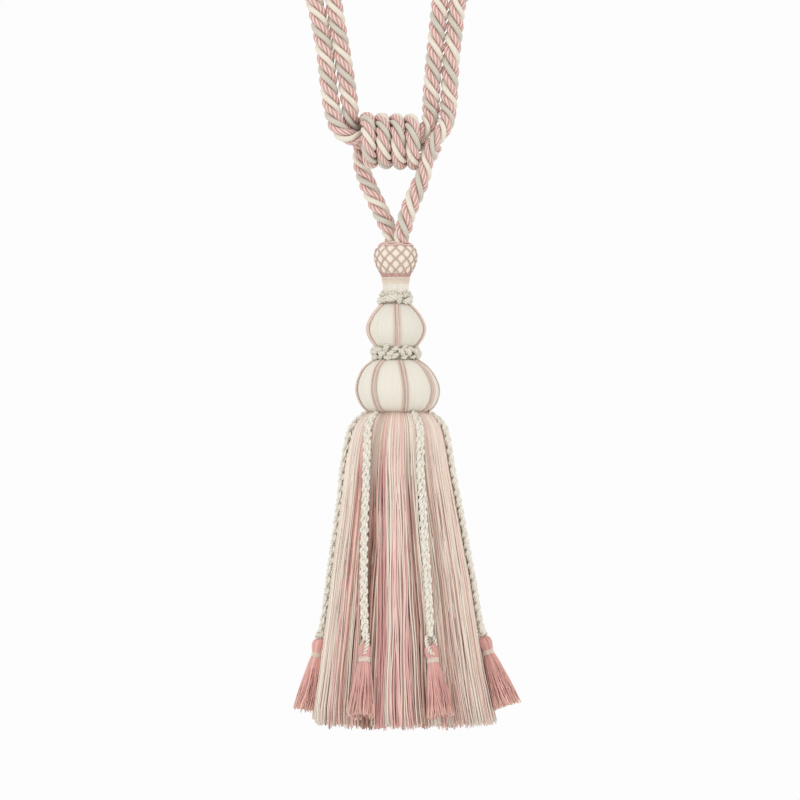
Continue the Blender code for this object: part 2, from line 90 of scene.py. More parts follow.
# The rope's route, in millimetres: x, y, z and how far the knot squeezes it, from its left end to its right
# end.
LEFT_LEG = (
    (-3.2, 4.5, -231.2, 0.84),
    (-3.4, 4.7, -229.0, 0.9),
    (-4.8, 5.3, -225.0, 0.97),
    (-7.4, 6.2, -219.5, 1.0),
    (-11.8, 7.4, -210.2, 1.0),
    (-16.1, 9.0, -201.5, 1.0),
    (-19.5, 11.2, -193.4, 0.97),
    (-22.0, 13.3, -186.3, 0.9),
)
BACK_RUN = (
    (14.3, 9.0, -182.0, 0.83),
    (19.2, 13.0, -179.8, 0.83),
    (23.1, 11.5, -175.2, 0.83),
    (21.2, 6.2, -172.4, 0.83),
    (14.9, 4.1, -172.4, 0.83),
    (0.0, 4.2, -172.4, 0.83),
    (-13.6, 4.2, -172.2, 0.83),
    (-19.8, 4.3, -171.7, 0.83),
)
LEFT_EYE = (
    (-24.8, 5.0, -169.3, 0.88),
    (-27.7, 4.0, -163.7, 0.92),
    (-28.6, 1.9, -157.8, 0.95),
    (-28.8, 0.3, -151.6, 0.98),
    (-29.6, 0.0, -144.8, 1.0),
    (-33.3, 0.0, -120.0, 1.0),
    (-37.6, 0.0, -95.2, 1.0),
    (-39.4, 0.0, -82.8, 1.0),
    (-40.1, 0.0, -74.1, 1.0),
    (-38.8, 0.0, -62.9, 1.0),
    (-35.3, 0.0, -49.3, 1.0),
    (-32.5, 0.0, -35.6, 1.0),
    (-33.4, 0.0, -22.0, 1.0),
    (-40.3, 0.0, -10.2, 1.0),
    (-53.0, 0.0, -5.3, 1.0),
    (-66.0, 0.0, -9.9, 1.0),
    (-73.5, 0.0, -21.4, 1.0),
    (-73.7, 0.0, -35.0, 1.0),
    (-69.3, 0.0, -49.3, 1.0),
    (-62.9, 0.0, -62.3, 1.0),
    (-56.1, 0.0, -74.1, 1.0),
    (-51.2, 0.0, -84.0, 1.0),
    (-48.4, 0.0, -95.2, 1.0),
    (-44.1, 0.0, -120.0, 1.0),
    (-41.2, 0.0, -144.8, 1.0),
    (-39.4, -0.9, -154.1, 0.98),
    (-36.5, -4.0, -162.3, 0.95),
    (-31.0, -5.6, -167.5, 0.91),
    (-24.8, -4.7, -168.6, 0.86),
)
FRONT_RUN = (
    (-19.2, -4.3, -168.7, 0.83),
    (-13.6, -4.2, -168.8, 0.83),
    (0.0, -4.2, -168.8, 0.83),
    (6.8, -4.2, -168.7, 0.83),
)
RIGHT_EYE = (
    (12.7, -4.1, -167.7, 0.85),
    (17.2, -3.1, -164.3, 0.9),
    (20.0, -1.2, -158.4, 0.95),
    (21.0, 0.0, -151.9, 1.0),
    (21.2, 0.0, -144.8, 1.0),
    (23.1, 0.0, -120.0, 1.0),
    (25.6, 0.0, -95.2, 1.0),
    (26.7, 0.0, -84.0, 1.0),
    (26.5, 0.0, -74.1, 1.0),
    (24.2, 0.0, -62.3, 1.0),
    (19.6, 0.0, -49.3, 1.0),
    (16.4, 0.0, -35.6, 1.0),
    (17.5, 0.0, -22.0, 1.0),
    (24.5, 0.0, -10.2, 1.0),
    (37.5, 0.0, -5.3, 1.0),
    (50.5, 0.0, -9.9, 1.0),
    (58.0, 0.0, -21.4, 1.0),
    (58.7, 0.0, -35.0, 1.0),
    (55.2, 0.0, -49.3, 1.0),
    (49.6, 0.0, -62.3, 1.0),
    (42.8, 0.0, -74.1, 1.0),
    (37.9, 0.0, -84.0, 1.0),
    (36.3, 0.0, -95.2, 1.0),
    (33.6, 0.0, -120.0, 1.0),
    (32.2, -0.3, -144.8, 1.0),
    (31.4, -2.2, -152.8, 1.0),
    (29.6, -5.9, -160.9, 0.95),
)
RIGHT_LEG = (
    (25.4, -9.4, -168.0, 0.87),
    (21.1, -10.3, -174.2, 0.8),
    (18.7, -9.8, -180.7, 0.77),
    (17.7, -8.7, -186.9, 0.84),
    (15.4, -7.4, -194.4, 0.95),
    (12.1, -6.3, -201.8, 1.0),
    (8.4, -5.8, -210.5, 1.0),
    (5.3, -5.5, -219.8, 1.0),
    (3.6, -5.0, -226.2, 0.97),
    (2.9, -4.6, -229.0, 0.9),
    (2.9, -4.5, -231.2, 0.84),
)

# The four wraps of the knot, in millimetres: where the first one lies along X, the step to the next, how
# far their tops lean to the right, their half depth and half height, the height of their middles, and how
# much lower these lie for each millimetre further along.
WRAP_FIRST = -17.4
WRAP_STEP = 9.05
WRAP_LEAN = 0.93
WRAP_HALF_DEPTH = 14.6
WRAP_HALF_HEIGHT = 13.0
WRAP_MIDDLE = -170.5
WRAP_FALL = 0.04
WRAP_SQUEEZE = 0.85


def wraps():
    """The route of the four wraps: a point each 15 degrees round an oval that moves on along X.

    The turn starts at the front and goes down. Depth is minus the half depth times its cosine, height is
    minus the half height times its sine, and the lean is taken from X times its sine.
    """
    degrees = np.arange(165, 360 * 4 + 105, 15)
    turn = np.radians(degrees)
    along = WRAP_FIRST + WRAP_STEP * (degrees / 360 - 1)
    x = along - WRAP_LEAN * np.sin(turn)
    y = -WRAP_HALF_DEPTH * np.cos(turn)
    z = WRAP_MIDDLE - WRAP_FALL * along - WRAP_HALF_HEIGHT * np.sin(turn)
    return np.stack([x, y, z, np.full_like(x, WRAP_SQUEEZE)], axis=1)


def unit(vectors):
    """Each vector divided by its own length."""
    return vectors / np.linalg.norm(vectors, axis=-1, keepdims=True)


def square_to(forward, vectors):
    """Each vector less its part along the unit vector forward, divided by its own length."""
    return unit(vectors - forward * (vectors * forward).sum(-1, keepdims=True))


def smooth_route(points, step):
    """Even points on the natural cubic spline through a route's own points, and how far along each one is.

    The bends of all columns solve one system with three diagonals. Between two points each column is the
    cubic that its two bends give, and the finished line is read off at equal steps of its own length.
    """
    points = np.asarray(points, float)
    gaps = np.linalg.norm(np.diff(points[:, :3], axis=0), axis=1)
    knots = np.concatenate([[0.0], np.cumsum(gaps)])
    diagonal = np.diag(np.concatenate([[1.0], 2 * (gaps[:-1] + gaps[1:]), [1.0]]))
    under = np.diag(np.append(gaps[:-1], 0.0), -1)
    over = np.diag(np.append(0.0, gaps[1:]), 1)
    right = np.zeros_like(points)
    right[1:-1] = 6 * np.diff(np.diff(points, axis=0) / gaps[:, None], axis=0)
    bends = np.linalg.solve(diagonal + under + over, right)
    fine = np.linspace(0, knots[-1], 40 * len(points))
    span = np.clip(np.searchsorted(knots, fine, side="right") - 1, 0, len(points) - 2)
    gap = gaps[span][:, None]
    before = (knots[span + 1] - fine)[:, None]
    after = (fine - knots[span])[:, None]
    places = (
        (bends[span] * before**3 + bends[span + 1] * after**3) / (6 * gap)
        + (points[span] / gap - bends[span] * gap / 6) * before
        + (points[span + 1] / gap - bends[span + 1] * gap / 6) * after
    )
    run = np.concatenate([[0.0], np.cumsum(np.linalg.norm(np.diff(places[:, :3], axis=0), axis=1))])
    wanted = np.linspace(0, run[-1], round(run[-1] / step) + 1)
    return np.stack([np.interp(wanted, run, column) for column in places.T], axis=1), wanted


def frames_along(lines, start=(0.0, 1.0, 0.0)):
    """The side and up directions at each point of each line.

    The first side is square to the line and to start. Each next one is the side before it less its part
    along the line's new direction, and up is the line's direction crossed with the side.
    """
    forward = unit(np.gradient(lines, axis=-2))
    side = np.empty_like(lines)
    side[..., 0, :] = unit(np.cross(forward[..., 0, :], start))
    for ring in range(1, lines.shape[-2]):
        side[..., ring, :] = square_to(forward[..., ring, :], side[..., ring - 1, :])
    return side, np.cross(forward, side)


def rings_round(lines, side, up, angles, radii):
    """Rings of points round the points of lines.

    A point of a ring is the line's point plus its radius times (cosine · side + sine · up) of its angle.
    """
    turned_side = np.cos(angles)[..., None] * side[..., None, :]
    turned_up = np.sin(angles)[..., None] * up[..., None, :]
    return lines[..., None, :] + np.asarray(radii)[..., None] * (turned_side + turned_up)


def tubes(rings, along, across=1.0, tint=None, finish=0, looped=False):
    """The faces of closed tubes, from rings[tube, ring, corner] whose corners go from the side towards up.

    Four-sided faces join each ring to the next. A looped tube's last ring joins its first, and any other
    end is closed by one face. The map holds how far round a corner is, from 0 to across, and how far along
    in metres. finish is the number of the finish that the tubes have, or a number for each of them.
    """
    count, length, corners = rings.shape[:3]
    index = np.arange(count * length * corners).reshape(count, length, corners)
    nearer = index if looped else index[:, :-1]
    further = np.roll(index, -1, 1) if looped else index[:, 1:]
    walls = np.stack([nearer, np.roll(nearer, -1, 2), np.roll(further, -1, 2), further], axis=-1)
    ends = np.zeros((0, corners), int) if looped else np.concatenate([index[:, 0, ::-1], index[:, -1]])
    run = np.broadcast_to(along, (count, walls.shape[1] + 1))
    round_at = np.arange(corners + 1) / corners * across
    u = np.stack([round_at[:-1], round_at[1:], round_at[1:], round_at[:-1]], axis=-1)
    v = np.stack([run[:, :-1], run[:, :-1], run[:, 1:], run[:, 1:]], axis=-1)
    wall_map = np.stack(np.broadcast_arrays(u[None, None], v[:, :, None, :]), axis=-1)
    colours = np.ones((count, length, corners, 4))
    if tint is not None:
        colours[..., :3] = tint
    return {
        "points": rings.reshape(-1, 3),
        "corners": np.concatenate([walls.ravel(), ends.ravel()]),
        "sizes": np.concatenate([np.full(walls.size // 4, 4), np.full(len(ends), corners)]),
        "map": np.concatenate([wall_map.reshape(-1, 2), np.zeros((ends.size, 2))]),
        "tint": colours.reshape(-1, 4),
        "finish": np.resize(finish, count).repeat(walls.size // 4 // count).tolist() + [0] * len(ends),
    }


def new_piece(name, bundles, finishes, replaced=()):
    """One finished piece of the tieback: its bundles of faces in one smooth mesh, with its finishes.

    replaced names the nodes of the frame that it stands for.
    """
    mesh = bpy.data.meshes.new(name)
    firsts = np.cumsum([0] + [len(bundle["points"]) for bundle in bundles[:-1]])
    corners = np.concatenate([bundle["corners"] + first for bundle, first in zip(bundles, firsts)])
    joined = {
        key: np.concatenate([bundle[key] for bundle in bundles])
        for key in ("points", "sizes", "map", "tint", "finish")
    }
    mesh.vertices.add(len(joined["points"]))
    mesh.vertices.foreach_set("co", joined["points"].astype(np.float32).ravel())
    mesh.loops.add(len(corners))
    mesh.loops.foreach_set("vertex_index", corners)
    mesh.polygons.add(len(joined["sizes"]))
    mesh.polygons.foreach_set("loop_start", np.cumsum(joined["sizes"]) - joined["sizes"])
    mesh.polygons.foreach_set("use_smooth", np.ones(len(joined["sizes"]), bool))
    mesh.polygons.foreach_set("material_index", joined["finish"].astype(int))
    mesh.update(calc_edges=True)
    mesh.uv_layers.new(name="yarn").data.foreach_set("uv", joined["map"].ravel())
    mesh.attributes.new("tint", "FLOAT_COLOR", "POINT").data.foreach_set("color", joined["tint"].ravel())
    for finish in finishes:
        mesh.materials.append(finish)
    piece = bpy.data.objects.new(name, mesh)
    bpy.context.scene.collection.objects.link(piece)
    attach(piece, "root")
    if replaced:
        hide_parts(*replaced)
    return piece


class Shade:
    """A value or colour on its way to the shader.

    Arithmetic on shades adds Math nodes, and node() adds any other.
    """

    def __init__(self, tree, socket=None):
        self.tree = tree
        self.socket = socket

    def node(self, kind, settings, sockets, output=0):
        """A new node. Its settings are set first, then each socket takes a value or another shade."""
        made = self.tree.nodes.new("ShaderNode" + kind)
        for name, value in settings.items():
            setattr(made, name, value)
        for name, value in sockets.items():
            if isinstance(value, Shade):
                self.tree.links.new(value.socket, made.inputs[name])
            else:
                made.inputs[name].default_value = value
        return Shade(self.tree, made.outputs[output])

    def math(self, operation, *others):
        """This shade, and any others, through one Math node."""
        return self.node("Math", {"operation": operation}, dict(enumerate((self, *others))))

    def other_output(self, output):
        """Another output of the node that made this shade."""
        return Shade(self.tree, self.socket.node.outputs[output])

    def __add__(self, other):
        return self.math("ADD", other)

    def __radd__(self, other):
        return self + other

    def __sub__(self, other):
        return self.math("SUBTRACT", other)

    def __rsub__(self, other):
        return self * -1 + other

    def __mul__(self, other):
        return self.math("MULTIPLY", other)

    def __rmul__(self, other):
        return self * other

    def __truediv__(self, other):
        return self.math("DIVIDE", other)

    def __mod__(self, other):
        return self.math("FLOORED_MODULO", other)

    def __pow__(self, other):
        return self.math("POWER", other)

    def mixed(self, first, second):
        """first where this shade is 0, second where it is 1, and a mixture between."""
        return self.node("Mix", {"data_type": "RGBA"}, {0: self, 6: first, 7: second}, output=2)


def linear(colour, light=1.0):
    """A screen colour, 0 to 255, as the linear colour that a shader takes, made lighter or darker."""
    share = np.array(colour) / 255
    value = np.where(share <= 0.04045, share / 12.92, ((share + 0.055) / 1.055) ** 2.4) * light
    return (*np.clip(value, 0, 1).tolist(), 1.0)


CREAM = (246, 240, 224)
GREY_BEIGE = (218, 215, 200)
ROPE_PINK = (216, 162, 155)
ROPE_WHITE = (244, 222, 212)
# The warm brown of painted shade between the plies and along the fibres' twist, also mixed in by chance as
# a cloudy tone; a linear colour.
PAINTED_SHADE_AND_TONE = (0.36, 0.22, 0.18, 1.0)


def yarn_finish(
    name, colour, second=None, plies=1, stripes=1.0, fibre=0.9 * MM, depth=0.12 * MM, roughness=0.8,
    dark=0.3,
):
    """Spun yarn: fine fibres wind round each ply, with painted shade between the plies.

    colour is a screen colour, or None for the tint that the piece's own points carry. With a second colour
    the plies take the two by turns. The fibres are a sine of (how far along / fibre + how far round the
    ply), and the groove is the third power of the way from the middle of the ply to its edge. One colour
    also changes its shade from side to side, in as many soft stripes as it says. dark is how much of the
    warm brown PAINTED_SHADE_AND_TONE is painted in as shade between the plies; a quarter of that follows
    the fibres' twist as painted shade, and a fifth darkens the yarn by chance in a cloudy noise.
    """
    material = bpy.data.materials.new(name)
    material.use_nodes = True
    shader = material.node_tree.nodes["Principled BSDF"]
    shader.inputs["Roughness"].default_value = roughness
    shader.inputs["Sheen Weight"].default_value = 0.2
    shader.inputs["Sheen Roughness"].default_value = 0.5
    shader.inputs["Specular IOR Level"].default_value = 0.2
    start = Shade(material.node_tree)
    place = start.node("UVMap", {"uv_map": "yarn"}, {})
    around = start.node("SeparateXYZ", {}, {0: place})
    along = around.other_output(1)
    ply = (around * plies).math("FLOOR")
    within = around * plies - ply
    twist = ((along / fibre + within) * math.tau).math("SINE") * 0.5 + 0.5
    groove = (within * 2 - 1).math("ABSOLUTE") ** 3 if plies > 1 else within * 0
    solid = start.node("TexCoord", {}, {}, output=3)
    cloudy = start.node("TexNoise", {}, {"Vector": solid, "Scale": 260.0, "Detail": 3.0})
    striped = {"W": around * stripes, "Scale": 1.0, "Detail": 2.0}
    uneven = start.node("TexNoise", {"noise_dimensions": "1D"}, striped)
    if colour is None:
        base = start.node("Attribute", {"attribute_name": "tint"}, {})
    elif second is None:
        base = uneven.mixed(linear(colour, 0.93), linear(colour, 1.07))
    else:
        base = (ply % 2).mixed(linear(colour), linear(second))
    # Painted shade: the warm brown darkens the grooves between the plies and the fibres' twist, and the
    # cloudy noise darkens the yarn by chance.
    shadow = (1 - twist) * (0.25 * dark) + groove * dark + (1 - cloudy) * (0.2 * dark)
    shaded = shadow.mixed(base, PAINTED_SHADE_AND_TONE)
    material.node_tree.links.new(shaded.socket, shader.inputs["Base Color"])
    bump = start.node("Bump", {}, {"Height": twist * 0.35 - groove, "Distance": depth, "Strength": 0.8})
    material.node_tree.links.new(bump.socket, shader.inputs["Normal"])
    return material


def rope_turn(side, up, run):
    """How far the cream strand has turned round the rope at each point, from the side direction.

    It turns once to the left in each lay, and a little more or less where the rope was pushed together or
    pulled out: at each place in CREAM_IN_FRONT it has to point at the camera, which is along minus Y.
    """
    even = -math.tau * run / ROPE_LAY
    places = np.searchsorted(run, np.array(CREAM_IN_FRONT) * MM)
    in_front = np.arctan2(-up[places, 1], -side[places, 1])
    return even + np.interp(run, run[places], np.unwrap(in_front - even[places]))


def rope_strands(route, run):
    """The four strands of the rope, as rings of points, all worked out together.

    A strand's middle goes round the rope with rope_turn. Its outline is a circle that just touches the two
    strands beside it, drawn in a little in the groove between yarns, and turned back so fast that a yarn on
    the outside of the rope leans by YARN_LEAN from the rope's own direction.
    """
    line, squeeze = route[:, :3], route[:, 3]
    side, up = frames_along(line)
    half_angles = np.array([NARROW_STRAND, WIDE_STRAND, NARROW_STRAND, WIDE_STRAND])
    rope_radius = ROPE_DIAMETER / 2
    strand_radius = rope_radius * np.sin(half_angles) / (1 + np.sin(half_angles))
    turn = rope_turn(side, up, run) + np.radians([0, 90, 180, 270])[:, None]
    away = (rope_radius - strand_radius)[:, None] * squeeze
    middle = line + away[..., None] * (np.cos(turn)[..., None] * side + np.sin(turn)[..., None] * up)
    turned_back = (math.tau * rope_radius / ROPE_LAY - math.tan(YARN_LEAN)) / strand_radius
    corner = np.arange(2 * STRAND_YARNS) / (2 * STRAND_YARNS) * math.tau
    angles = (turn + turned_back[:, None] * run)[..., None] + corner
    groove = np.where(np.arange(2 * STRAND_YARNS) % 2 == 0, YARN_GROOVE, 1.0)
    radii = strand_radius[:, None, None] * squeeze[:, None] * groove
    side, up = np.broadcast_to(side, middle.shape), np.broadcast_to(up, middle.shape)
    return rings_round(middle, side, up, angles, radii)


into_ball = np.array([[0.0, 0.0, -ROPE_INTO_BALL / MM, 0.0]])
rope_points = np.concatenate([
    np.array(LEFT_LEG[:1]) + into_ball, LEFT_LEG, wraps(), BACK_RUN, LEFT_EYE, FRONT_RUN, RIGHT_EYE,
    RIGHT_LEG, np.array(RIGHT_LEG[-1:]) + into_ball,
]) * (MM, MM, MM, 1.0)
rope_route, rope_run = smooth_route(rope_points, ROPE_STEP)

cream_strand = yarn_finish("cream_strand", CREAM, plies=STRAND_YARNS, dark=0.34)
pink_strand = yarn_finish("pink_strand", ROPE_PINK, ROPE_WHITE, plies=STRAND_YARNS, dark=0.36)
grey_strand = yarn_finish("grey_strand", GREY_BEIGE, plies=STRAND_YARNS, dark=0.36)
rope = new_piece(
    "rope",
    [tubes(rope_strands(rope_route, rope_run), rope_run, finish=[0, 1, 2, 1])],
    [cream_strand, pink_strand, grey_strand], ["twisted_rope"],
)

# ------------------------------------------------------------------------------------------ The netted ball
# A turned ball wound with cream cotton, inside a looped net of pink-tan cord. The net's cords run up over
# its shoulder to the rope, and close in a thick row of small loops underneath.

# Rows, outlines, and the foot and top of the shoulder's cords are in millimetres. These cords go round by
# SHOULDER_TURN, in radians, as they rise. The ball's outline has the height and radius from its foot to
# where the rope goes in.
BALL_OUTLINE = (
    (-254.3, 8.2), (-252.7, 9.1), (-250.3, 10.5), (-247.9, 11.7), (-245.6, 12.5), (-243.2, 13.0),
    (-240.8, 13.1), (-238.5, 12.6), (-236.3, 11.4), (-234.8, 9.6), (-233.7, 7.8), (-232.8, 5.8),
    (-232.2, 3.6),
)
NET_ROWS = (-234.9, -238.4, -241.8, -245.3, -248.8, -252.0)
NET_LOOPS = 11
NET_WAVE = 1.46 * MM
NET_CORD = 0.88 * MM
NET_PITCH = 2.2 * MM
NET_LIFT = 0.12 * MM
NET_CROSSING = 0.2 * MM
FOOT_ROWS = (-253.1, -254.0)
FOOT_WAVE = 0.45 * MM
FOOT_LIFT = 0.25 * MM
SHOULDER_FOOT = -234.0
SHOULDER_TOP = -232.0
SHOULDER_TURN = 0.25
SHOULDER_LIFT = 0.2 * MM
GARLAND_HEIGHT = -234.3 * MM
GARLAND_WAVE = 0.8 * MM
GARLAND_LIFT = 0.5 * MM
PAD_EDGE = 1.7 * MM
PAD_SUNK = 0.75 * MM
PAD_RISE = 0.7 * MM
NET_TAN = (218, 192, 178)
NET_PINK = (222, 176, 166)
BALL_CREAM = (239, 226, 210)
SHOULDER_PINK = (244, 212, 202)

# The tassel's middle line isn't quite straight: how far to the right it lies at each height, in
# millimetres.
MIDDLE_LINE = (
    (-529.0, 5.2), (-521.0, 4.3), (-510.0, 4.0), (-499.0, 3.6), (-477.0, 3.3), (-457.0, 3.0),
    (-440.5, 2.7), (-424.0, 2.2), (-407.0, 1.9), (-391.0, 1.4), (-374.0, 0.5), (-355.0, 0.6),
    (-345.0, 0.9), (-332.0, 0.8), (-322.0, 0.4), (-312.0, -0.4), (-300.0, -0.75), (-230.0, -0.75),
)


def round_upright(angle, radius, height):
    """Points round an upright line at the origin, at angles from the front.

    x is the radius times the sine of the angle, and y is minus the radius times its cosine.
    """
    angle, radius, height = np.broadcast_arrays(angle, radius, height)
    return np.stack([radius * np.sin(angle), -radius * np.cos(angle), height], axis=-1)


def round_the_axis(angle, radius, height):
    """The same points round the tassel's own middle line, moved to the right with it."""
    points = round_upright(angle, radius, height)
    points[..., 0] += np.interp(points[..., 2] / MM, *zip(*MIDDLE_LINE)) * MM
    return points


def smooth_outline(outline):
    """Heights and radii in metres, rising, on a smooth curve through an outline's own heights and radii."""
    curve, run = smooth_route([(radius, 0.0, height) for height, radius in outline], 0.25)
    return curve[:, 2] * MM, curve[:, 0] * MM


def turned(heights, radii, threads=1, **more):
    """One closed round body from rings at rising heights, with radii[ring, column] round each of them."""
    angle = np.arange(radii.shape[1]) / radii.shape[1] * math.tau
    rings = round_the_axis(angle, radii, heights[:, None])
    step = np.hypot(np.diff(heights), np.diff(radii[:, 0]))
    return tubes(rings[None], np.concatenate([[0.0], np.cumsum(step)]), threads, **more)


def laid_cord(lines, side, up, run, plies, radius, pitch, corners=6, phase=0.0, **more):
    """Cords of plies laid round lines[cord, point], drawn in the planes of side and up.

    A ply's middle is the line plus a spread times (cosine · side + sine · up), once round in each pitch,
    and its corners turn with it. The plies are a tenth wider than would just touch, as soft yarns press
    together.
    """
    count, length = lines.shape[:2]
    run = np.broadcast_to(run, (count, run.shape[-1]))
    radius = np.broadcast_to(radius, (count, length))[:, None]
    touching = math.sin(math.pi / plies) / (1 + math.sin(math.pi / plies))
    ply_radius = 1.1 * touching * radius
    turn = phase + math.tau * run[:, None, :length] / pitch + np.arange(plies)[:, None] * math.tau / plies
    wound = np.cos(turn)[..., None] * side[:, None] + np.sin(turn)[..., None] * up[:, None]
    middle = lines[:, None] + (radius - ply_radius)[..., None] * wound
    angles = turn[..., None] + np.arange(corners) / corners * math.tau
    radii = np.broadcast_to(ply_radius[..., None], angles.shape)
    rings = rings_round(middle, side[:, None], up[:, None], angles, radii)
    return tubes(rings.reshape(-1, length, corners, 3), run.repeat(plies, axis=0), **more)


def lengths_along(lines):
    """How far along each line its points are, from 0."""
    steps = np.linalg.norm(np.diff(lines, axis=-2), axis=-1)
    return np.concatenate([np.zeros((*steps.shape[:-1], 1)), np.cumsum(steps, axis=-1)], axis=-1)


def closed_lengths(lines, pitch):
    """How far along closed lines their points are, scaled so that a whole number of pitches fits."""
    run = lengths_along(np.concatenate([lines, lines[:, :1]], axis=1))
    return run * (pitch * np.round(run[:, -1:] / pitch) / run[:, -1:])


def ring_cord(lines, plies, radius, pitch, **more):
    """Closed cords round the tassel, whose side is out from its middle, square to the line."""
    forward = unit(np.roll(lines, -1, axis=1) - np.roll(lines, 1, axis=1))
    out = square_to(forward, (lines - lines.mean(axis=1, keepdims=True)) * (1, 1, 0))
    run = closed_lengths(lines, pitch)
    return laid_cord(lines, out, np.cross(forward, out), run, plies, radius, pitch, looped=True, **more)


def net_turn(row, angle):
    """How far a row of the net is through its waves at an angle, half a wave on from the row above."""
    return NET_LOOPS * angle + math.pi * (row + 1)


def net_wave(row, angle):
    """The height of a row of the net: a wave whose crests meet the hollows of the row above it."""
    return NET_ROWS[row] * MM + NET_WAVE * np.cos(net_turn(row, angle))


def ball_radius(height):
    """How wide the ball is at a height."""
    return np.interp(height, *smooth_outline(BALL_OUTLINE))


net_around = np.arange(16 * NET_LOOPS) / (16 * NET_LOOPS) * math.tau
net_rows = np.arange(len(NET_ROWS))
net_heights = np.array([net_wave(row, net_around) for row in net_rows])
net_over = NET_LIFT + NET_CROSSING * np.cos(net_turn(net_rows[:, None], net_around))
net_lines = round_the_axis(net_around, ball_radius(net_heights) + net_over, net_heights)

foot_wave = FOOT_WAVE * np.cos(2 * NET_LOOPS * net_around)
foot_heights = np.array([FOOT_ROWS[0] * MM + foot_wave, FOOT_ROWS[1] * MM - foot_wave])
foot_lines = round_the_axis(net_around, ball_radius(foot_heights) + FOOT_LIFT, foot_heights)

shoulder_start = (np.arange(NET_LOOPS)[:, None] + 0.5) * math.tau / NET_LOOPS
shoulder_angle = shoulder_start + SHOULDER_TURN * np.linspace(0, 1, 12)
shoulder_height = np.linspace(SHOULDER_FOOT, SHOULDER_TOP, 12) * MM
shoulder = round_the_axis(shoulder_angle, ball_radius(shoulder_height) + SHOULDER_LIFT, shoulder_height)
shoulder_side, shoulder_up = frames_along(shoulder)
shoulder_run = lengths_along(shoulder)

# Two thicker cords lie in waves round the place where the rope goes in.
garland_height = GARLAND_HEIGHT + GARLAND_WAVE * np.cos(3 * net_around + [[0.6], [3.7]])
garland = round_the_axis(net_around, ball_radius(garland_height) + GARLAND_LIFT, garland_height)

# Each mesh of the net holds a small pad of the ball's own cotton, which is lowest under the cords: with the
# way to the nearest cord it rises as a sine, up to PAD_EDGE from it.
pad_heights = np.linspace(-254.6, -232.2, 64)[:, None] * MM
to_cord = np.min([np.abs(pad_heights - net_wave(row, net_around)) for row in net_rows], axis=0)
pad_share = np.sin(np.clip(to_cord / PAD_EDGE, 0, 1) * math.pi / 2)
pad_radii = ball_radius(pad_heights) - PAD_SUNK + PAD_RISE * pad_share

ball_cotton = yarn_finish("ball_cotton", BALL_CREAM, fibre=0.8 * MM, dark=0.12)
net_cotton = yarn_finish("net_cotton", NET_TAN, fibre=0.8 * MM)
foot_cotton = yarn_finish("foot_cotton", NET_PINK, fibre=0.8 * MM)
shoulder_cotton = yarn_finish("shoulder_cotton", SHOULDER_PINK, fibre=0.8 * MM, dark=0.2)
new_piece(
    "net_ball",
    [
        turned(pad_heights[:, 0], pad_radii),
        ring_cord(net_lines, 2, NET_CORD / 2, NET_PITCH, corners=5, finish=1),
        ring_cord(foot_lines, 2, NET_CORD / 2, NET_PITCH, corners=5, finish=2),
        ring_cord(garland, plies=3, radius=0.75 * MM, pitch=3.4 * MM, corners=5, finish=3),
        laid_cord(
            shoulder, shoulder_side, shoulder_up, shoulder_run, 2, NET_CORD / 2, NET_PITCH, finish=1,
        ),
    ],
    [ball_cotton, net_cotton, foot_cotton, shoulder_cotton], ["net_ball"],
)

# -------------------------------------------------------------------------------------- The collar and neck
# Under the ball the wooden core narrows to a neck. Pale beige cord is wound round its top in five even
# turns, and fine cream thread covers the rest of it down to the first ruff.

COLLAR_ROWS = np.linspace(-255.0, -258.4, 5)[:, None] * MM
COLLAR_RADII = np.linspace(8.5, 8.1, 5)[:, None] * MM
NECK_THREADS = 120
NECK_RADIUS = 8.0 * MM
NECK_GROOVE = 0.05 * MM
COLLAR_BEIGE = (248, 233, 216)
NECK_CREAM = (247, 242, 228)

collar_around = np.arange(120) / 120 * math.tau
collar_lines = round_the_axis(collar_around, COLLAR_RADII, COLLAR_ROWS)
collar_cord = ring_cord(collar_lines, plies=2, radius=0.52 * MM, pitch=2.6 * MM)
collar_cotton = yarn_finish("collar_cotton", COLLAR_BEIGE, fibre=1.0 * MM, dark=0.2)
new_piece("collar", [collar_cord], [collar_cotton], ["collar"])

neck_heights = np.linspace(-265.4, -253.2, 12) * MM
neck_radii = NECK_RADIUS - NECK_GROOVE * (np.arange(2 * NECK_THREADS) % 2) + np.zeros((12, 1))
neck_thread = yarn_finish(
    "neck_thread", NECK_CREAM, plies=NECK_THREADS, stripes=30.0, fibre=0.8 * MM, dark=0.12,
)
new_piece("neck", [turned(neck_heights, neck_radii, NECK_THREADS)], [neck_thread], ["neck"])

# -------------------------------------------------------------------------------------------- The two ruffs
# Where the core narrows above each bulb, short lengths of cream-grey yarn are twisted up into loops and
# tied round it: a few large lumps over the upper bulb, and three crowded rows of small ones over the lower
# bulb.

RUFF_CREAM = (230, 226, 212)
# RUFF_SHADOW is painted shade: the core between the lumps is coloured darker to stand for the shade in the
# gaps.
RUFF_SHADOW = (168, 160, 143)

ruff_cotton = yarn_finish("ruff_cotton", RUFF_CREAM, fibre=1.0 * MM, dark=0.42)
ruff_core_painted_shade = yarn_finish("ruff_core_painted_shade", RUFF_SHADOW, fibre=1.0 * MM, dark=0.42)


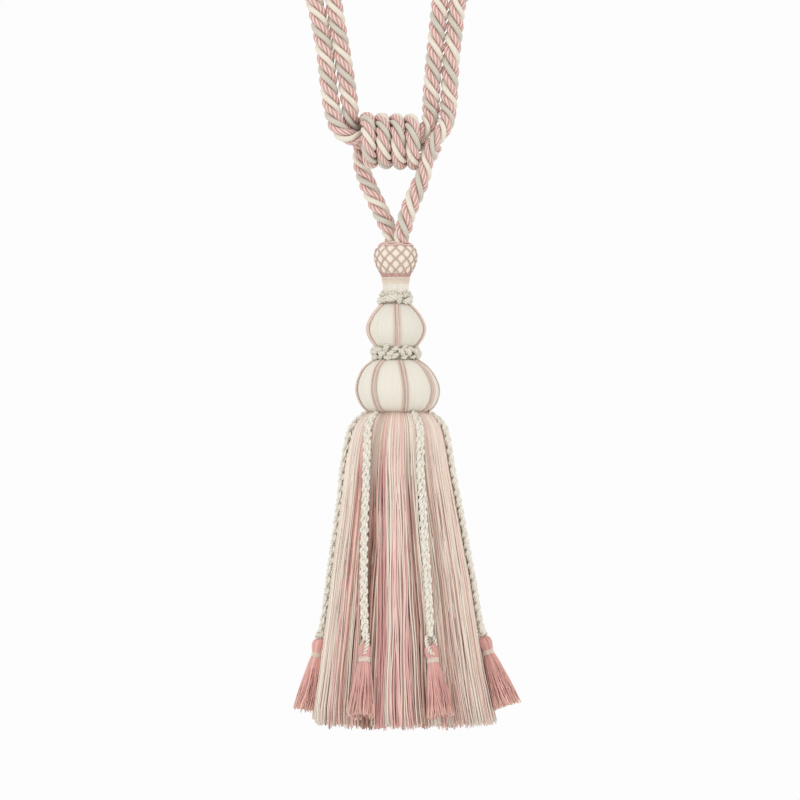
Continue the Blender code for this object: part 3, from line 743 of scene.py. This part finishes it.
def ruff_lumps(angles, height, radius, long, thick, tilt, loose, plies, pitch, seed, stations=22):
    """Lumps of twisted yarn tied round the core: short thick cords that swell and end again.

    A lump lies along a line that is tilted from the level by its tilt and by chance, and bowed by a half
    sine of the way along it. Its ends go in towards the core by the third power of the way from its middle.
    Its thickness is a half sine of the way along it, to a small power.
    """
    chance = np.random.default_rng(seed)
    count = len(angles)
    share = np.linspace(0.03, 0.97, stations)
    tilt = np.radians(tilt + chance.normal(0, loose, count))[:, None]
    long = long * (1 + chance.normal(0, 0.1, count))[:, None]
    along = long * (share - 0.5)
    bow = 0.09 * long * np.sin(math.pi * share) * chance.choice([-1, 1], count)[:, None]
    level = along * np.cos(tilt) - bow * np.sin(tilt)
    height = height + along * np.sin(tilt) + bow * np.cos(tilt)
    out = radius + chance.normal(0, 0.25 * MM, count)[:, None] - 0.9 * thick * np.abs(2 * share - 1) ** 3
    angle = (angles + chance.normal(0, 0.04, count))[:, None] + level / radius
    lines = round_the_axis(angle, out, height)
    side, up = frames_along(lines)
    swell = thick * np.sin(math.pi * share) ** 0.55 * (1 + chance.normal(0, 0.08, count))[:, None]
    phase = chance.uniform(0, 6, (count, 1, 1))
    return laid_cord(lines, side, up, lengths_along(lines), plies, swell, pitch, corners=7, phase=phase)


def ruff_core_body(heights, radius):
    """The wound core that shows between the lumps, coloured darker as painted shade in the gaps."""
    return turned(np.array(heights) * MM, np.full((len(heights), 48), radius), finish=1)


big_lumps = np.radians(-14.0 + 72.0 * np.arange(5))
frizz = np.arange(17) / 17 * math.tau
new_piece(
    "upper_ruff",
    [
        ruff_core_body((-273.0, -268.0, -264.9), 8.1 * MM),
        ruff_lumps(
            big_lumps, height=-268.5 * MM, radius=9.3 * MM, long=11.4 * MM, thick=2.6 * MM,
            tilt=6, loose=5, plies=4, pitch=11 * MM, seed=12, stations=34,
        ),
        ruff_lumps(
            big_lumps + 0.63, height=-268.2 * MM, radius=9.1 * MM, long=6.0 * MM, thick=2.0 * MM,
            tilt=60, loose=20, plies=3, pitch=6 * MM, seed=14,
        ),
        ruff_lumps(
            frizz, height=-266.2 * MM, radius=8.9 * MM, long=4.4 * MM, thick=1.4 * MM,
            tilt=20, loose=35, plies=2, pitch=4 * MM, seed=15,
        ),
        ruff_lumps(
            frizz + 0.2, height=-264.5 * MM, radius=8.9 * MM, long=3.6 * MM, thick=0.95 * MM,
            tilt=30, loose=35, plies=2, pitch=4 * MM, seed=11,
        ),
    ],
    [ruff_cotton, ruff_core_painted_shade], ["upper_ruff"],
)

small_lumps = np.arange(15) / 15 * math.tau
new_piece(
    "lower_ruff",
    [
        ruff_core_body((-307.5, -302.0, -296.8), 12.6 * MM),
        ruff_lumps(
            small_lumps, height=-298.9 * MM, radius=13.2 * MM, long=5.6 * MM, thick=1.9 * MM,
            tilt=25, loose=25, plies=3, pitch=7 * MM, seed=21,
        ),
        ruff_lumps(
            small_lumps + 0.2, height=-301.4 * MM, radius=14.0 * MM, long=5.8 * MM, thick=2.0 * MM,
            tilt=-25, loose=25, plies=3, pitch=7 * MM, seed=22,
        ),
        ruff_lumps(
            small_lumps + 0.05, height=-303.8 * MM, radius=13.9 * MM, long=5.6 * MM, thick=1.9 * MM,
            tilt=15, loose=30, plies=3, pitch=7 * MM, seed=23,
        ),
    ],
    [ruff_cotton, ruff_core_painted_shade], ["lower_ruff"],
)

# -------------------------------------------------------------------------------------------- The two bulbs
# Two turned wooden bulbs covered in upright cream threads. Over each run bands of four laid cords side by
# side, one of them pale and three pink-tan, sewn down from the ruff above to the foot of the bulb.

BULB_THREAD = (232, 227, 213)
RIB_TAN = (233, 208, 194)
RIB_PALE = (246, 234, 222)
THREAD_GROOVE = 0.07 * MM
BULB_RINGS = 29
RIB_POINTS = 64
RIB_CORD = 1.12 * MM
RIB_PITCH = 2.9 * MM
RIB_RISE = 0.62 * MM

# The four cords of a rib: the place of each across it, in millimetres, and which finish it has.
RIB_CORDS = ((-1.56, 0), (-0.52, 0), (0.5, 1), (1.52, 0))

# The angles of the ribs from the front, in degrees.
RIB_ANGLES_UPPER = (3.5, 75.5, 147.5, 219.5, 291.5)
RIB_ANGLES_LOWER = (-80.0, -35.0, 11.0, 58.0, 101.0, 145.0, 190.0, 235.0)

# The bulbs' outlines: height and radius of the threads, in millimetres, from the foot of each to its top.
UPPER_OUTLINE = (
    (-298.0, 12.0), (-296.0, 13.9), (-293.0, 16.1), (-290.5, 17.4), (-287.6, 18.1), (-284.5, 17.8),
    (-281.5, 16.6), (-278.5, 14.9), (-275.5, 12.5), (-273.0, 10.1), (-271.3, 8.2),
)
LOWER_OUTLINE = (
    (-338.4, 17.0), (-336.3, 20.3), (-334.0, 22.4), (-331.0, 24.0), (-327.0, 25.2), (-323.5, 25.4),
    (-320.0, 24.7), (-316.5, 23.3), (-312.5, 21.0), (-309.8, 18.6), (-307.4, 15.4), (-306.0, 13.2),
)

bulb_thread = yarn_finish(
    "bulb_thread", BULB_THREAD, plies=212, stripes=80.0, fibre=1.4 * MM, depth=0.05 * MM, roughness=0.6,
    dark=0.12,
)
rib_tan = yarn_finish("rib_tan", RIB_TAN, fibre=0.9 * MM, dark=0.45)
rib_pale = yarn_finish("rib_pale", RIB_PALE, fibre=0.9 * MM)


def sideways(angle):
    """The level direction to the right at an angle from the front: (cosine, sine, 0)."""
    return np.stack([np.cos(angle), np.sin(angle), np.zeros_like(angle)], axis=-1)


def bulb(name, outline, threads, rib_angles):
    """A bulb in its threads, and its ribs of four cords each, which lie on the bulb's own outline.

    A cord's middle is the bulb's outline, raised by RIB_RISE, plus its place across times the sideways
    direction. The threads are ridges: every other point of a ring lies lower by THREAD_GROOVE.
    """
    heights, radii = smooth_outline(outline)
    few = np.linspace(0, len(heights) - 1, BULB_RINGS).astype(int)
    ridged = radii[few, None] - THREAD_GROOVE * (np.arange(2 * threads) % 2)
    new_piece(name, [turned(heights[few], ridged)], [bulb_thread], [name])
    down = np.linspace(len(heights) - 1, 0, RIB_POINTS).astype(int)
    angle = np.radians(rib_angles)[:, None]
    middle = round_the_axis(angle, radii[down] + RIB_RISE, heights[down])
    side = np.broadcast_to(sideways(angle), middle.shape)
    up = np.cross(unit(np.gradient(middle, axis=1)), side)
    cords = []
    for number, (place, finish) in enumerate(RIB_CORDS):
        lines = middle + place * MM * side
        run = lengths_along(lines)
        pitch = RIB_PITCH * (-1) ** number
        cords.append(laid_cord(lines, side, up, run, 2, RIB_CORD / 2, pitch, corners=5, finish=finish))
    ribs = [f"{name}_rib_{number}" for number in range(1, len(rib_angles) + 1)]
    new_piece(name + "_ribs", cords, [rib_tan, rib_pale], ribs)


bulb("upper_bulb", UPPER_OUTLINE, 212, RIB_ANGLES_UPPER)
bulb("lower_bulb", LOWER_OUTLINE, 290, RIB_ANGLES_LOWER)

# ------------------------------------------------------------------------------------------------ The skirt
# Some three thousand two hundred cut yarns hang in a bunch from under the lower bulb, in eight layers.
# Dusty pinks, pale pink, tan, grey and cream lie in narrow groups, and the yarns cling together in strands
# a few millimetres wide.

SKIRT_TOP = -337.6 * MM
SKIRT_LENGTH = 191.4 * MM
YARN_RADIUS = 0.38 * MM

# What chance does to the yarns: how uneven the hem is, how far a yarn lies out of its layer, how far its
# strand sways, how far it wanders by itself in a wide wave and in a close one, and how many are strays. A
# group's colours take turns in a row of COLOUR_PICKS, from which each of its yarns picks one.
HEM_UNEVEN = 0.9 * MM
LAYER_LOOSE = 0.45 * MM
STRAND_SWAY = 0.9 * MM
YARN_WANDER = 0.35 * MM
YARN_KINK = 0.25 * MM
STRAY_PALE = 0.16
STRAY_DARK = 0.07
COLOUR_PICKS = 20

# How far down the skirt the light reaches that falls in over the bulb, the share of tan that the darkest
# yarns keep there, and the brightest that a tint may be.
LIGHT_REACHES = 90 * MM
LEAST_LIT = 0.85
LIGHTEST = 0.92

# The skirt's outline: the depth under its top and its radius there, in millimetres.
SKIRT_OUTLINE = (
    (0.0, 17.6), (1.5, 20.0), (3.2, 22.6), (5.5, 25.0), (8.5, 26.9), (12.0, 28.2), (16.0, 29.1),
    (22.0, 30.3), (28.0, 31.3), (37.0, 32.6), (53.0, 34.8), (70.0, 37.5), (86.0, 40.0), (103.0, 42.7),
    (120.0, 44.8), (140.0, 47.8), (161.0, 51.0), (183.0, 55.0), (197.0, 57.0),
)

# SHADE and SHADOW are painted shade: the groups that hold them, most of all those beside the two front
# plaits, are darkened to stand for the shade in the gaps between the strands there.
DUSTY = (227, 186, 179)
DEEP = (212, 160, 154)
SHADE = (180, 140, 126)
SHADOW = (148, 108, 92)
BLUSH = (242, 219, 209)
TAN = (221, 200, 184)
GREY = (212, 206, 193)
PALE = (248, 238, 223)
PEACH = (239, 211, 197)

# The colours round the skirt: the angle at which each group ends, and the colours its yarns take by chance.
SKIRT_GROUPS = (
    (-165, (DUSTY, BLUSH, PALE)), (-150, (GREY, TAN, PALE)), (-134, (PALE, BLUSH)),
    (-118, (DUSTY, DEEP, BLUSH)), (-104, (TAN, PEACH, PALE)), (-90, (PEACH, TAN, BLUSH)),
    (-75, (TAN, PALE, BLUSH)), (-70, (BLUSH, PALE, TAN)), (-64, (TAN, DUSTY, BLUSH)),
    (-57, (PALE, BLUSH, TAN)), (-51, (TAN, DUSTY, BLUSH)), (-44, (DUSTY, TAN, DEEP)),
    (-38, (TAN, SHADE, TAN)), (-31, (TAN, DUSTY, SHADE)), (-27, (SHADE, SHADE, TAN)),
    (-22.5, (SHADOW, SHADOW, SHADE)), (-20, (TAN, DUSTY)), (-17, (DEEP, DUSTY, DEEP)),
    (-12.5, (DUSTY, TAN, DEEP)), (-10.5, (PALE, TAN)), (-2.5, (DUSTY, TAN, DEEP)),
    (2.5, (BLUSH, PEACH, DUSTY)), (6.5, (DUSTY, DEEP, TAN)), (9.5, (DUSTY, SHADE, TAN)),
    (16, (SHADOW, SHADE, TAN)), (21, (TAN, PALE, DUSTY)), (27, (TAN, DUSTY, PALE)),
    (33, (DUSTY, SHADE, TAN, PALE)), (39, (DUSTY, TAN, BLUSH)), (44, (BLUSH, DUSTY, BLUSH)),
    (52, (BLUSH, PEACH, PALE)), (60, (PALE, TAN, PALE, BLUSH)), (66, (PEACH, BLUSH, DUSTY)),
    (76, (PEACH, BLUSH, TAN)), (92, (PEACH, PALE, TAN)), (108, (DUSTY, DEEP, PALE)), (124, (GREY, TAN)),
    (140, (PALE, BLUSH)), (156, (DUSTY, BLUSH, PEACH)), (170, (TAN, PEACH, PALE)),
    (360, (PALE, BLUSH, DUSTY)),
)


def skirt_radius(depth):
    """How wide the skirt is at each depth under its top, in metres, by straight steps between its sizes."""
    return np.interp(depth / MM, *zip(*SKIRT_OUTLINE)) * MM


def short_way(angle):
    """The same angle, between minus half a turn and half a turn."""
    return (angle + math.pi) % math.tau - math.pi


def group_colours(angles, chance):
    """A colour for each yarn: by chance one of its own group's, now and then a stray pale or dark one."""
    ends = np.array([end for end, colours in SKIRT_GROUPS])
    table = np.array([
        [linear(colours[pick % len(colours)])[:3] for pick in range(COLOUR_PICKS)]
        for end, colours in SKIRT_GROUPS
    ])
    group = np.searchsorted(ends, np.degrees(short_way(angles)))
    picked = table[group, chance.integers(0, COLOUR_PICKS, len(angles))]
    stray = chance.uniform(0, 1, (len(angles), 1))
    picked = np.where(stray > 1 - STRAY_DARK, linear(SHADE)[:3], picked)
    picked = np.where(stray < STRAY_PALE, linear(PALE)[:3], picked)
    return picked * chance.normal(1.07, 0.11, (len(angles), 1))


def smooth_step(share):
    """0 below 0, 1 above 1, and 3 share² − 2 share³ between them."""
    share = np.clip(share, 0, 1)
    return share * share * (3 - 2 * share)


def yarn_rings(lines, angle, sides, radius):
    """Rings of points round yarns that hang at their angles: side is sideways, made square to the yarn."""
    forward = unit(np.gradient(lines, axis=1))
    side = square_to(forward, sideways(angle))
    corner = np.broadcast_to(np.arange(sides) / sides * math.tau, (*angle.shape, sides))
    return rings_round(lines, side, np.cross(forward, side), corner, np.broadcast_to(radius, corner.shape))


def skirt_layer(count, share, clumps, sides, stations, seed):
    """One layer of the skirt's yarns, as tubes from the core down to their cut ends.

    A yarn keeps its share of the skirt's radius. Its angle is pulled towards the middle of its strand with
    depth, and sways with the strand by a slow sine; it wanders a little by itself, by two quicker ones.
    Painted light: near the top, where light falls in over the bulb, a yarn's tint isn't darker than
    LEAST_LIT times tan, and every yarn is painted a little paler towards its end, against the shade between
    the yarns lower down. A tint past LIGHTEST is brought back to it whole, so that it keeps its hue.
    """
    chance = np.random.default_rng(seed)
    own = (np.arange(count) + chance.uniform(-0.45, 0.45, count)) * math.tau / count
    middles = np.sort((np.arange(clumps) + chance.uniform(-0.3, 0.3, clumps)) * math.tau / clumps)
    clump = np.searchsorted(middles, own) % clumps
    to_last = np.abs(short_way(middles[clump - 1] - own))
    to_next = np.abs(short_way(middles[clump] - own))
    clump = np.where(to_last < to_next, clump - 1, clump)
    uneven = chance.normal(0, HEM_UNEVEN, count)
    length = SKIRT_LENGTH + uneven + chance.normal(0, HEM_UNEVEN, clumps)[clump]
    depth = np.linspace(0, 1, stations) ** 1.25 * length[:, None]
    free = smooth_step(depth / (60 * MM))
    gap = short_way(middles[clump] - own)
    pull = smooth_step(depth / (70 * MM)) * chance.uniform(0.08, 0.42, clumps)[clump][:, None]
    spread = 1 + 0.015 * chance.normal(0, 1, (count, 1)) * depth / SKIRT_LENGTH
    radius = skirt_radius(depth) * share * spread - 0.5 * MM
    radius = radius + LAYER_LOOSE * free * chance.normal(0, 1, (count, 1))
    sway = STRAND_SWAY * np.sin(depth / (30 * MM) + chance.uniform(0, 6.3, clumps)[clump][:, None])
    wander = YARN_WANDER * np.sin(depth / (16 * MM) + chance.uniform(0, 6.3, (count, 1)))
    wander = wander + YARN_KINK * np.sin(depth / (8 * MM) + chance.uniform(0, 6.3, (count, 1)))
    angle = own[:, None] + pull * gap[:, None] + free * (sway + wander) / radius
    lines = round_the_axis(angle, radius, SKIRT_TOP - depth)
    full = 0.6 + 0.4 * smooth_step(depth / (40 * MM))
    thick = YARN_RADIUS * full * chance.uniform(0.85, 1.2, (count, 1))
    # Painted light: the darkest yarns are lifted towards tan near the top, and all are painted paler lower
    # down, against the shade between the yarns there.
    lit = LEAST_LIT * np.array(linear(TAN)[:3]) * smooth_step(1.1 - depth / LIGHT_REACHES)[..., None]
    paler = (1 + 0.12 * depth / SKIRT_LENGTH)[..., None]
    tint = np.maximum(group_colours(own, chance)[:, None], lit) * paler
    tint = tint / np.maximum(1, tint.max(-1, keepdims=True) / LIGHTEST)
    rings = yarn_rings(lines, angle, sides, thick[..., None])
    return tubes(rings, lengths_along(lines), tint=tint[:, :, None])


skirt_yarn = yarn_finish("skirt_yarn", None, fibre=1.3 * MM, depth=0.08 * MM, roughness=0.7, dark=0.3)
outer_layer = skirt_layer(620, share=1.0, clumps=78, sides=4, stations=24, seed=101)
new_piece("skirt", [outer_layer], [skirt_yarn], ["skirt"])
under_layers = [
    skirt_layer(560, share=0.978, clumps=66, sides=4, stations=18, seed=102),
    skirt_layer(500, share=0.95, clumps=56, sides=3, stations=15, seed=103),
]
new_piece("skirt_under", under_layers, [skirt_yarn])
inner_layers = [
    skirt_layer(440, share=0.915, clumps=46, sides=3, stations=9, seed=104),
    skirt_layer(380, share=0.85, clumps=40, sides=3, stations=8, seed=105),
    skirt_layer(320, share=0.74, clumps=30, sides=3, stations=8, seed=106),
    skirt_layer(240, share=0.58, clumps=24, sides=3, stations=7, seed=107),
    skirt_layer(150, share=0.38, clumps=16, sides=3, stations=7, seed=108),
]
new_piece("skirt_inside", inner_layers, [skirt_yarn])

# ---------------------------------------------------------------------------------------- The plaited cords
# Six flat plaits of three soft cream strands hang over the skirt from under the lower bulb. Each strand is
# laid from two yarns. At its foot the plait opens into a small loop, over which the yarns of the small
# tassel are folded.

PLAIT_WIDTH = 5.6 * MM
PLAIT_THICKNESS = 3.9 * MM
PLAIT_REPEAT = 19.6 * MM
PLAIT_STEP = 0.8 * MM
PLAIT_OFF_SKIRT = 2.0 * MM
PLAIT_FOOT_OUT = 1.0 * MM
PLAIT_START = -338.0 * MM
PLAIT_STRAND = 3.0 * MM
PLAIT_CREAM = (247, 242, 229)
PRESSED_WIDTH = 2.8 * MM
PRESSED_DEPTH = 2.4 * MM
LOOP_HALF_HEIGHT = 6.0 * MM
LOOP_FORWARD = 1.5 * MM
LOOP_CORD = 2.7 * MM

# Each plait: its name, its angles at even steps down it, the height of its end, how far that is above the
# small tassel's top, and the turn and half width of the loop at its foot, in degrees and millimetres.
PLAITS = (
    ("front_left", (-43, -36, -34, -34, -33.3, -31.8, -30.4, -28.8, -26.2), -477.6, 2.3, 50, 4.9),
    ("front_right", (28, 23.6, 21.4, 20.9, 20), -474.8, 5.5, 0, 3.2),
    ("right", (78, 79, 79.5, 80, 80), -477.0, 0.6, 90, 2.6),
    ("back_right", (137, 140, 142), -476.5, 3.4, 40, 3.2),
    ("back_left", (-148, -149.3, -150), -477.0, 3.4, 10, 3.2),
    ("left", (-98, -94.5, -92, -90.5, -90), -478.4, 1.0, 90, 2.6),
)

# How each small tassel hangs: the direction it leans in, how far it leans, both in degrees, and how much it
# spreads.
HANGS = {
    "front_left": (-14, 15.4, 0.93), "front_right": (32.5, 15.2, 0.95), "right": (82, 19.5, 0.97),
    "back_right": (142, 14.5, 1.0), "back_left": (-150, 14.5, 0.95), "left": (-90, 11.5, 0.86),
}


def plait_line(angles, end):
    """The middle of a plait, and the direction out of the skirt at each point of it.

    It goes down the outside of the skirt in even steps. Its angle is the mean of the straight steps between
    the plait's own angles, over the width of one of them.
    """
    count = round((PLAIT_START - end) / PLAIT_STEP) + 1
    share = np.linspace(0, 1, count)
    height = PLAIT_START + (end - PLAIT_START) * share
    angle = np.radians(np.interp(share, np.linspace(0, 1, len(angles)), angles))
    width = round(count / len(angles)) | 1
    padded = np.pad(angle, width // 2, mode="reflect", reflect_type="odd")
    angle = np.convolve(padded, np.full(width, 1 / width), mode="valid")
    off_skirt = PLAIT_OFF_SKIRT * np.clip(share * 12, 0.2, 1)
    radius = skirt_radius(SKIRT_TOP - height) + off_skirt + PLAIT_FOOT_OUT * share**4
    return round_the_axis(angle, radius, height), round_upright(angle, 1.0, 0.0)


def plait_strands(line, outward, run):
    """The three strands of a flat plait, each a third of the repeat behind the one before it.

    Across, a strand goes by a sine of the repeat, and out of the plait's plane by a sine twice as fast. The
    plait is drawn in at both ends.
    """
    down = unit(np.gradient(line, axis=0))
    across = unit(np.cross(outward, down))
    out = np.cross(down, across)
    turn = math.tau * run / PLAIT_REPEAT + np.arange(3)[:, None] * math.tau / 3
    closing = np.clip(np.minimum(run, run[-1] - run) / (6 * MM), 0.25, 1)
    wide = (PLAIT_WIDTH - PRESSED_WIDTH) / 2 * np.sin(turn) * closing
    deep = (PLAIT_THICKNESS - PRESSED_DEPTH) / 2 * np.sin(2 * turn)
    return line + wide[..., None] * across + deep[..., None] * out


# A small tassel, in millimetres: its outline, as how far below its top and the radius there, and how far
# below the top its band ends and its paler tips start.
SMALL_OUTLINE = (
    (-0.8, 1.2), (-0.1, 2.8), (1.3, 3.9), (3.2, 4.35), (5.2, 4.1), (6.8, 3.5), (7.8, 3.0), (9.3, 2.8),
    (10.9, 3.0), (13.0, 3.7), (17.0, 4.6), (28.0, 6.5), (40.0, 8.2), (46.0, 8.9),
)
BAND_END = 11
TIP_START = 34
SMALL_PINK = (232, 180, 170)
SMALL_TIP = (245, 200, 184)
BAND_CREAM = (252, 242, 226)
BAND_RADIUS = 3.32 * MM
BAND_ROWS = np.array([-8.2, -8.95, -9.7, -10.45])[:, None] * MM

plait_cotton = yarn_finish("plait_cotton", PLAIT_CREAM, plies=3, fibre=1.6 * MM, dark=0.15)
small_yarn = yarn_finish("small_yarn", None, fibre=0.8 * MM, depth=0.06 * MM, dark=0.12)
band_cotton = yarn_finish("band_cotton", BAND_CREAM, fibre=0.8 * MM, dark=0.08)


def small_yarns(count, flare, seed, share, start, end, radius, stations=14):
    """The yarns of a small tassel that stands at the origin, from start to end along its outline.

    A yarn keeps its share of the outline's radius, times flare at the foot. Below the band it wanders a
    little, and its tip is paler. Heights and the outline are in millimetres.
    """
    chance = np.random.default_rng(seed)
    own = (np.arange(count) + chance.uniform(-0.4, 0.4, count)) * math.tau / count
    last = end + chance.normal(0, 0.6, (count, 1)) * (end < -20)
    height = start + (last - start) * np.linspace(0, 1, stations) ** 1.2
    below = -height - BAND_END
    spread = np.interp(-height, *zip(*SMALL_OUTLINE)) * share
    spread = spread * (1 + (flare - 1) * smooth_step(below / 20))
    loose = smooth_step(below / 25)
    spread = spread + loose * chance.normal(0, 0.35, (count, 1))
    angle = own[:, None] + loose * (0.15 * np.sin(-height / 9 + chance.uniform(0, 6, (count, 1))))
    lines = round_upright(angle, spread, height) * MM
    tip = smooth_step((-height - TIP_START) / 10)[..., None, None]
    colour = np.array(linear(SMALL_PINK)[:3]) * (1 - tip) + np.array(linear(SMALL_TIP)[:3]) * tip
    tint = colour * chance.normal(0.97, 0.17, (count, 1, 1, 1))
    return tubes(yarn_rings(lines, angle, 3, radius), lengths_along(lines), tint=tint)


def hung(bundle, place, direction, lean):
    """The same faces, hung from a place: the foot swings out by the lean, in its direction, in degrees."""
    x, y, z = bundle["points"].T
    direction, lean = math.radians(direction), math.radians(lean)
    swung_y = y * math.cos(lean) + z * math.sin(lean)
    swung_z = z * math.cos(lean) - y * math.sin(lean)
    turned_x = x * math.cos(direction) - swung_y * math.sin(direction)
    turned_y = x * math.sin(direction) + swung_y * math.cos(direction)
    return {**bundle, "points": np.stack([turned_x, turned_y, swung_z], axis=1) + place}


def plait_loop(turn, half_width):
    """The loop at a plait's foot, standing at the origin: a rounded oval, turned about the upright.

    It is the half width times the cosine to the power 0.7, and the half height times the sine. Its left
    side comes forward as it goes down, in front of the small tassel's head.
    """
    around = np.arange(48) / 48 * math.tau
    across = half_width * np.sign(np.cos(around)) * np.abs(np.cos(around)) ** 0.7
    forward = LOOP_FORWARD * (1 - np.cos(around)) * (1 - np.sin(around)) * math.cos(turn)
    height = 0.2 * MM + LOOP_HALF_HEIGHT * np.sin(around)
    return np.stack([across * math.cos(turn), -across * math.sin(turn) - forward, height], axis=-1)


def loop_cord(line, radius, pitch):
    """A closed cord of two plies along an upright loop, whose side is square to it and to its radius."""
    forward = unit(np.roll(line, -1, axis=0) - np.roll(line, 1, axis=0))
    side = unit(np.cross(forward, line - line.mean(axis=0)))
    up = np.cross(forward, side)
    run = closed_lengths(line[None], pitch)
    return laid_cord(line[None], side[None], up[None], run, 2, radius, pitch, looped=True)


band_lines = round_upright(np.arange(40) / 40 * math.tau, BAND_RADIUS, BAND_ROWS)
band_cord = ring_cord(band_lines, plies=2, radius=0.42 * MM, pitch=1.6 * MM, corners=5)

for number, (name, angles, end, drop, loop_turn, loop_half) in enumerate(PLAITS):
    direction, lean, flare = HANGS[name]
    line, outward = plait_line(angles, end * MM)
    run = lengths_along(line)
    strands = plait_strands(line, outward, run)
    side, up = frames_along(strands)
    place = line[-1] - (0, 0, drop * MM)
    plait_yarns = laid_cord(strands, side, up, run, 2, PLAIT_STRAND / 2, pitch=7.5 * MM, corners=7)
    plait = new_piece("plait_" + name, [plait_yarns], [plait_cotton], ["plait_" + name])
    loop_line = plait_loop(math.radians(loop_turn), loop_half * MM)
    loop_yarns = hung(loop_cord(loop_line, LOOP_CORD / 2, pitch=5 * MM), place, angles[-1], lean)
    loop = new_piece("plait_loop_" + name, [loop_yarns], [plait_cotton])
    yarns = [
        small_yarns(80, flare, 211 + number, share=1.0, start=0.8, end=-44, radius=0.36 * MM),
        small_yarns(72, flare, 311 + number, share=0.88, start=-9, end=-44, radius=0.4 * MM, stations=12),
        small_yarns(56, flare, 400 + number, share=0.66, start=-9, end=-43.5, radius=0.45 * MM, stations=8),
        small_yarns(26, flare, 500 + number, share=0.82, start=0.2, end=-10, radius=0.6 * MM, stations=12),
    ]
    small = new_piece(
        "small_tassel_" + name, [hung(bundle, place, direction, lean) for bundle in yarns], [small_yarn],
        ["small_tassel_" + name],
    )
    band = new_piece(
        "small_band_" + name, [hung(band_cord, place, direction, lean)], [band_cotton],
        ["small_band_" + name],
    )

# ----------------------------------------------------------------------------------------------- The studio
# It hangs in a bright white room, as in a catalogue picture, with one large soft light to the left and a
# weaker one to the right. A pale floor lies well under it and fades out towards its rim.

TIEBACK_MIDDLE = (0.0, 0.0, -0.32)
FLOOR_HEIGHT = -0.76
FLOOR_RADIUS = 0.6
FADE_START = 0.2
FADE_END = 0.58

world = bpy.data.worlds.new("room")
bpy.context.scene.world = world
world.use_nodes = True
world.node_tree.nodes["Background"].inputs["Color"].default_value = (1.0, 1.0, 1.0, 1.0)
world.node_tree.nodes["Background"].inputs["Strength"].default_value = 0.98
bpy.context.scene.view_settings.view_transform = "Standard"


def soft_light(name, place, size, power):
    """A square area light at a place, turned to the middle of the tieback."""
    data = bpy.data.lights.new(name, "AREA")
    data.size = size
    data.energy = power
    light = bpy.data.objects.new(name, data)
    light.location = place
    aim = unit(np.subtract(TIEBACK_MIDDLE, place))
    light.rotation_euler = (math.acos(-aim[2]), 0.0, math.atan2(-aim[0], aim[1]))
    bpy.context.scene.collection.objects.link(light)


soft_light("left_softbox", place=(-1.1, -1.3, 0.35), size=0.9, power=4.7)
soft_light("right_softbox", place=(1.2, -1.3, 0.0), size=0.9, power=2.5)

floor_mesh = bpy.data.meshes.new("floor")
floor_angle = np.arange(96) / 96 * math.tau
floor_points = np.stack([np.cos(floor_angle), np.sin(floor_angle), np.zeros(96)], axis=-1) * FLOOR_RADIUS
floor_mesh.from_pydata((floor_points + (0, 0, FLOOR_HEIGHT)).tolist(), [], [list(range(96))])
floor_finish = bpy.data.materials.new("floor")
floor_finish.use_nodes = True
floor_shader = floor_finish.node_tree.nodes["Principled BSDF"]
floor_shader.inputs["Base Color"].default_value = (0.9, 0.9, 0.9, 1.0)
floor_shader.inputs["Roughness"].default_value = 0.9
floor_start = Shade(floor_finish.node_tree)
floor_place = floor_start.node("TexCoord", {}, {}, output=3)
from_middle = floor_start.node("SeparateXYZ", {}, {0: floor_place})
from_middle = (from_middle ** 2 + from_middle.other_output(1) ** 2) ** 0.5
fading = {0: from_middle, 1: FADE_START, 2: FADE_END, 3: 1.0, 4: 0.0}
fade = floor_start.node("MapRange", {"interpolation_type": "SMOOTHSTEP"}, fading)
floor_finish.node_tree.links.new(fade.socket, floor_shader.inputs["Alpha"])
floor_mesh.materials.append(floor_finish)
floor = bpy.data.objects.new("floor", floor_mesh)
bpy.context.scene.collection.objects.link(floor)
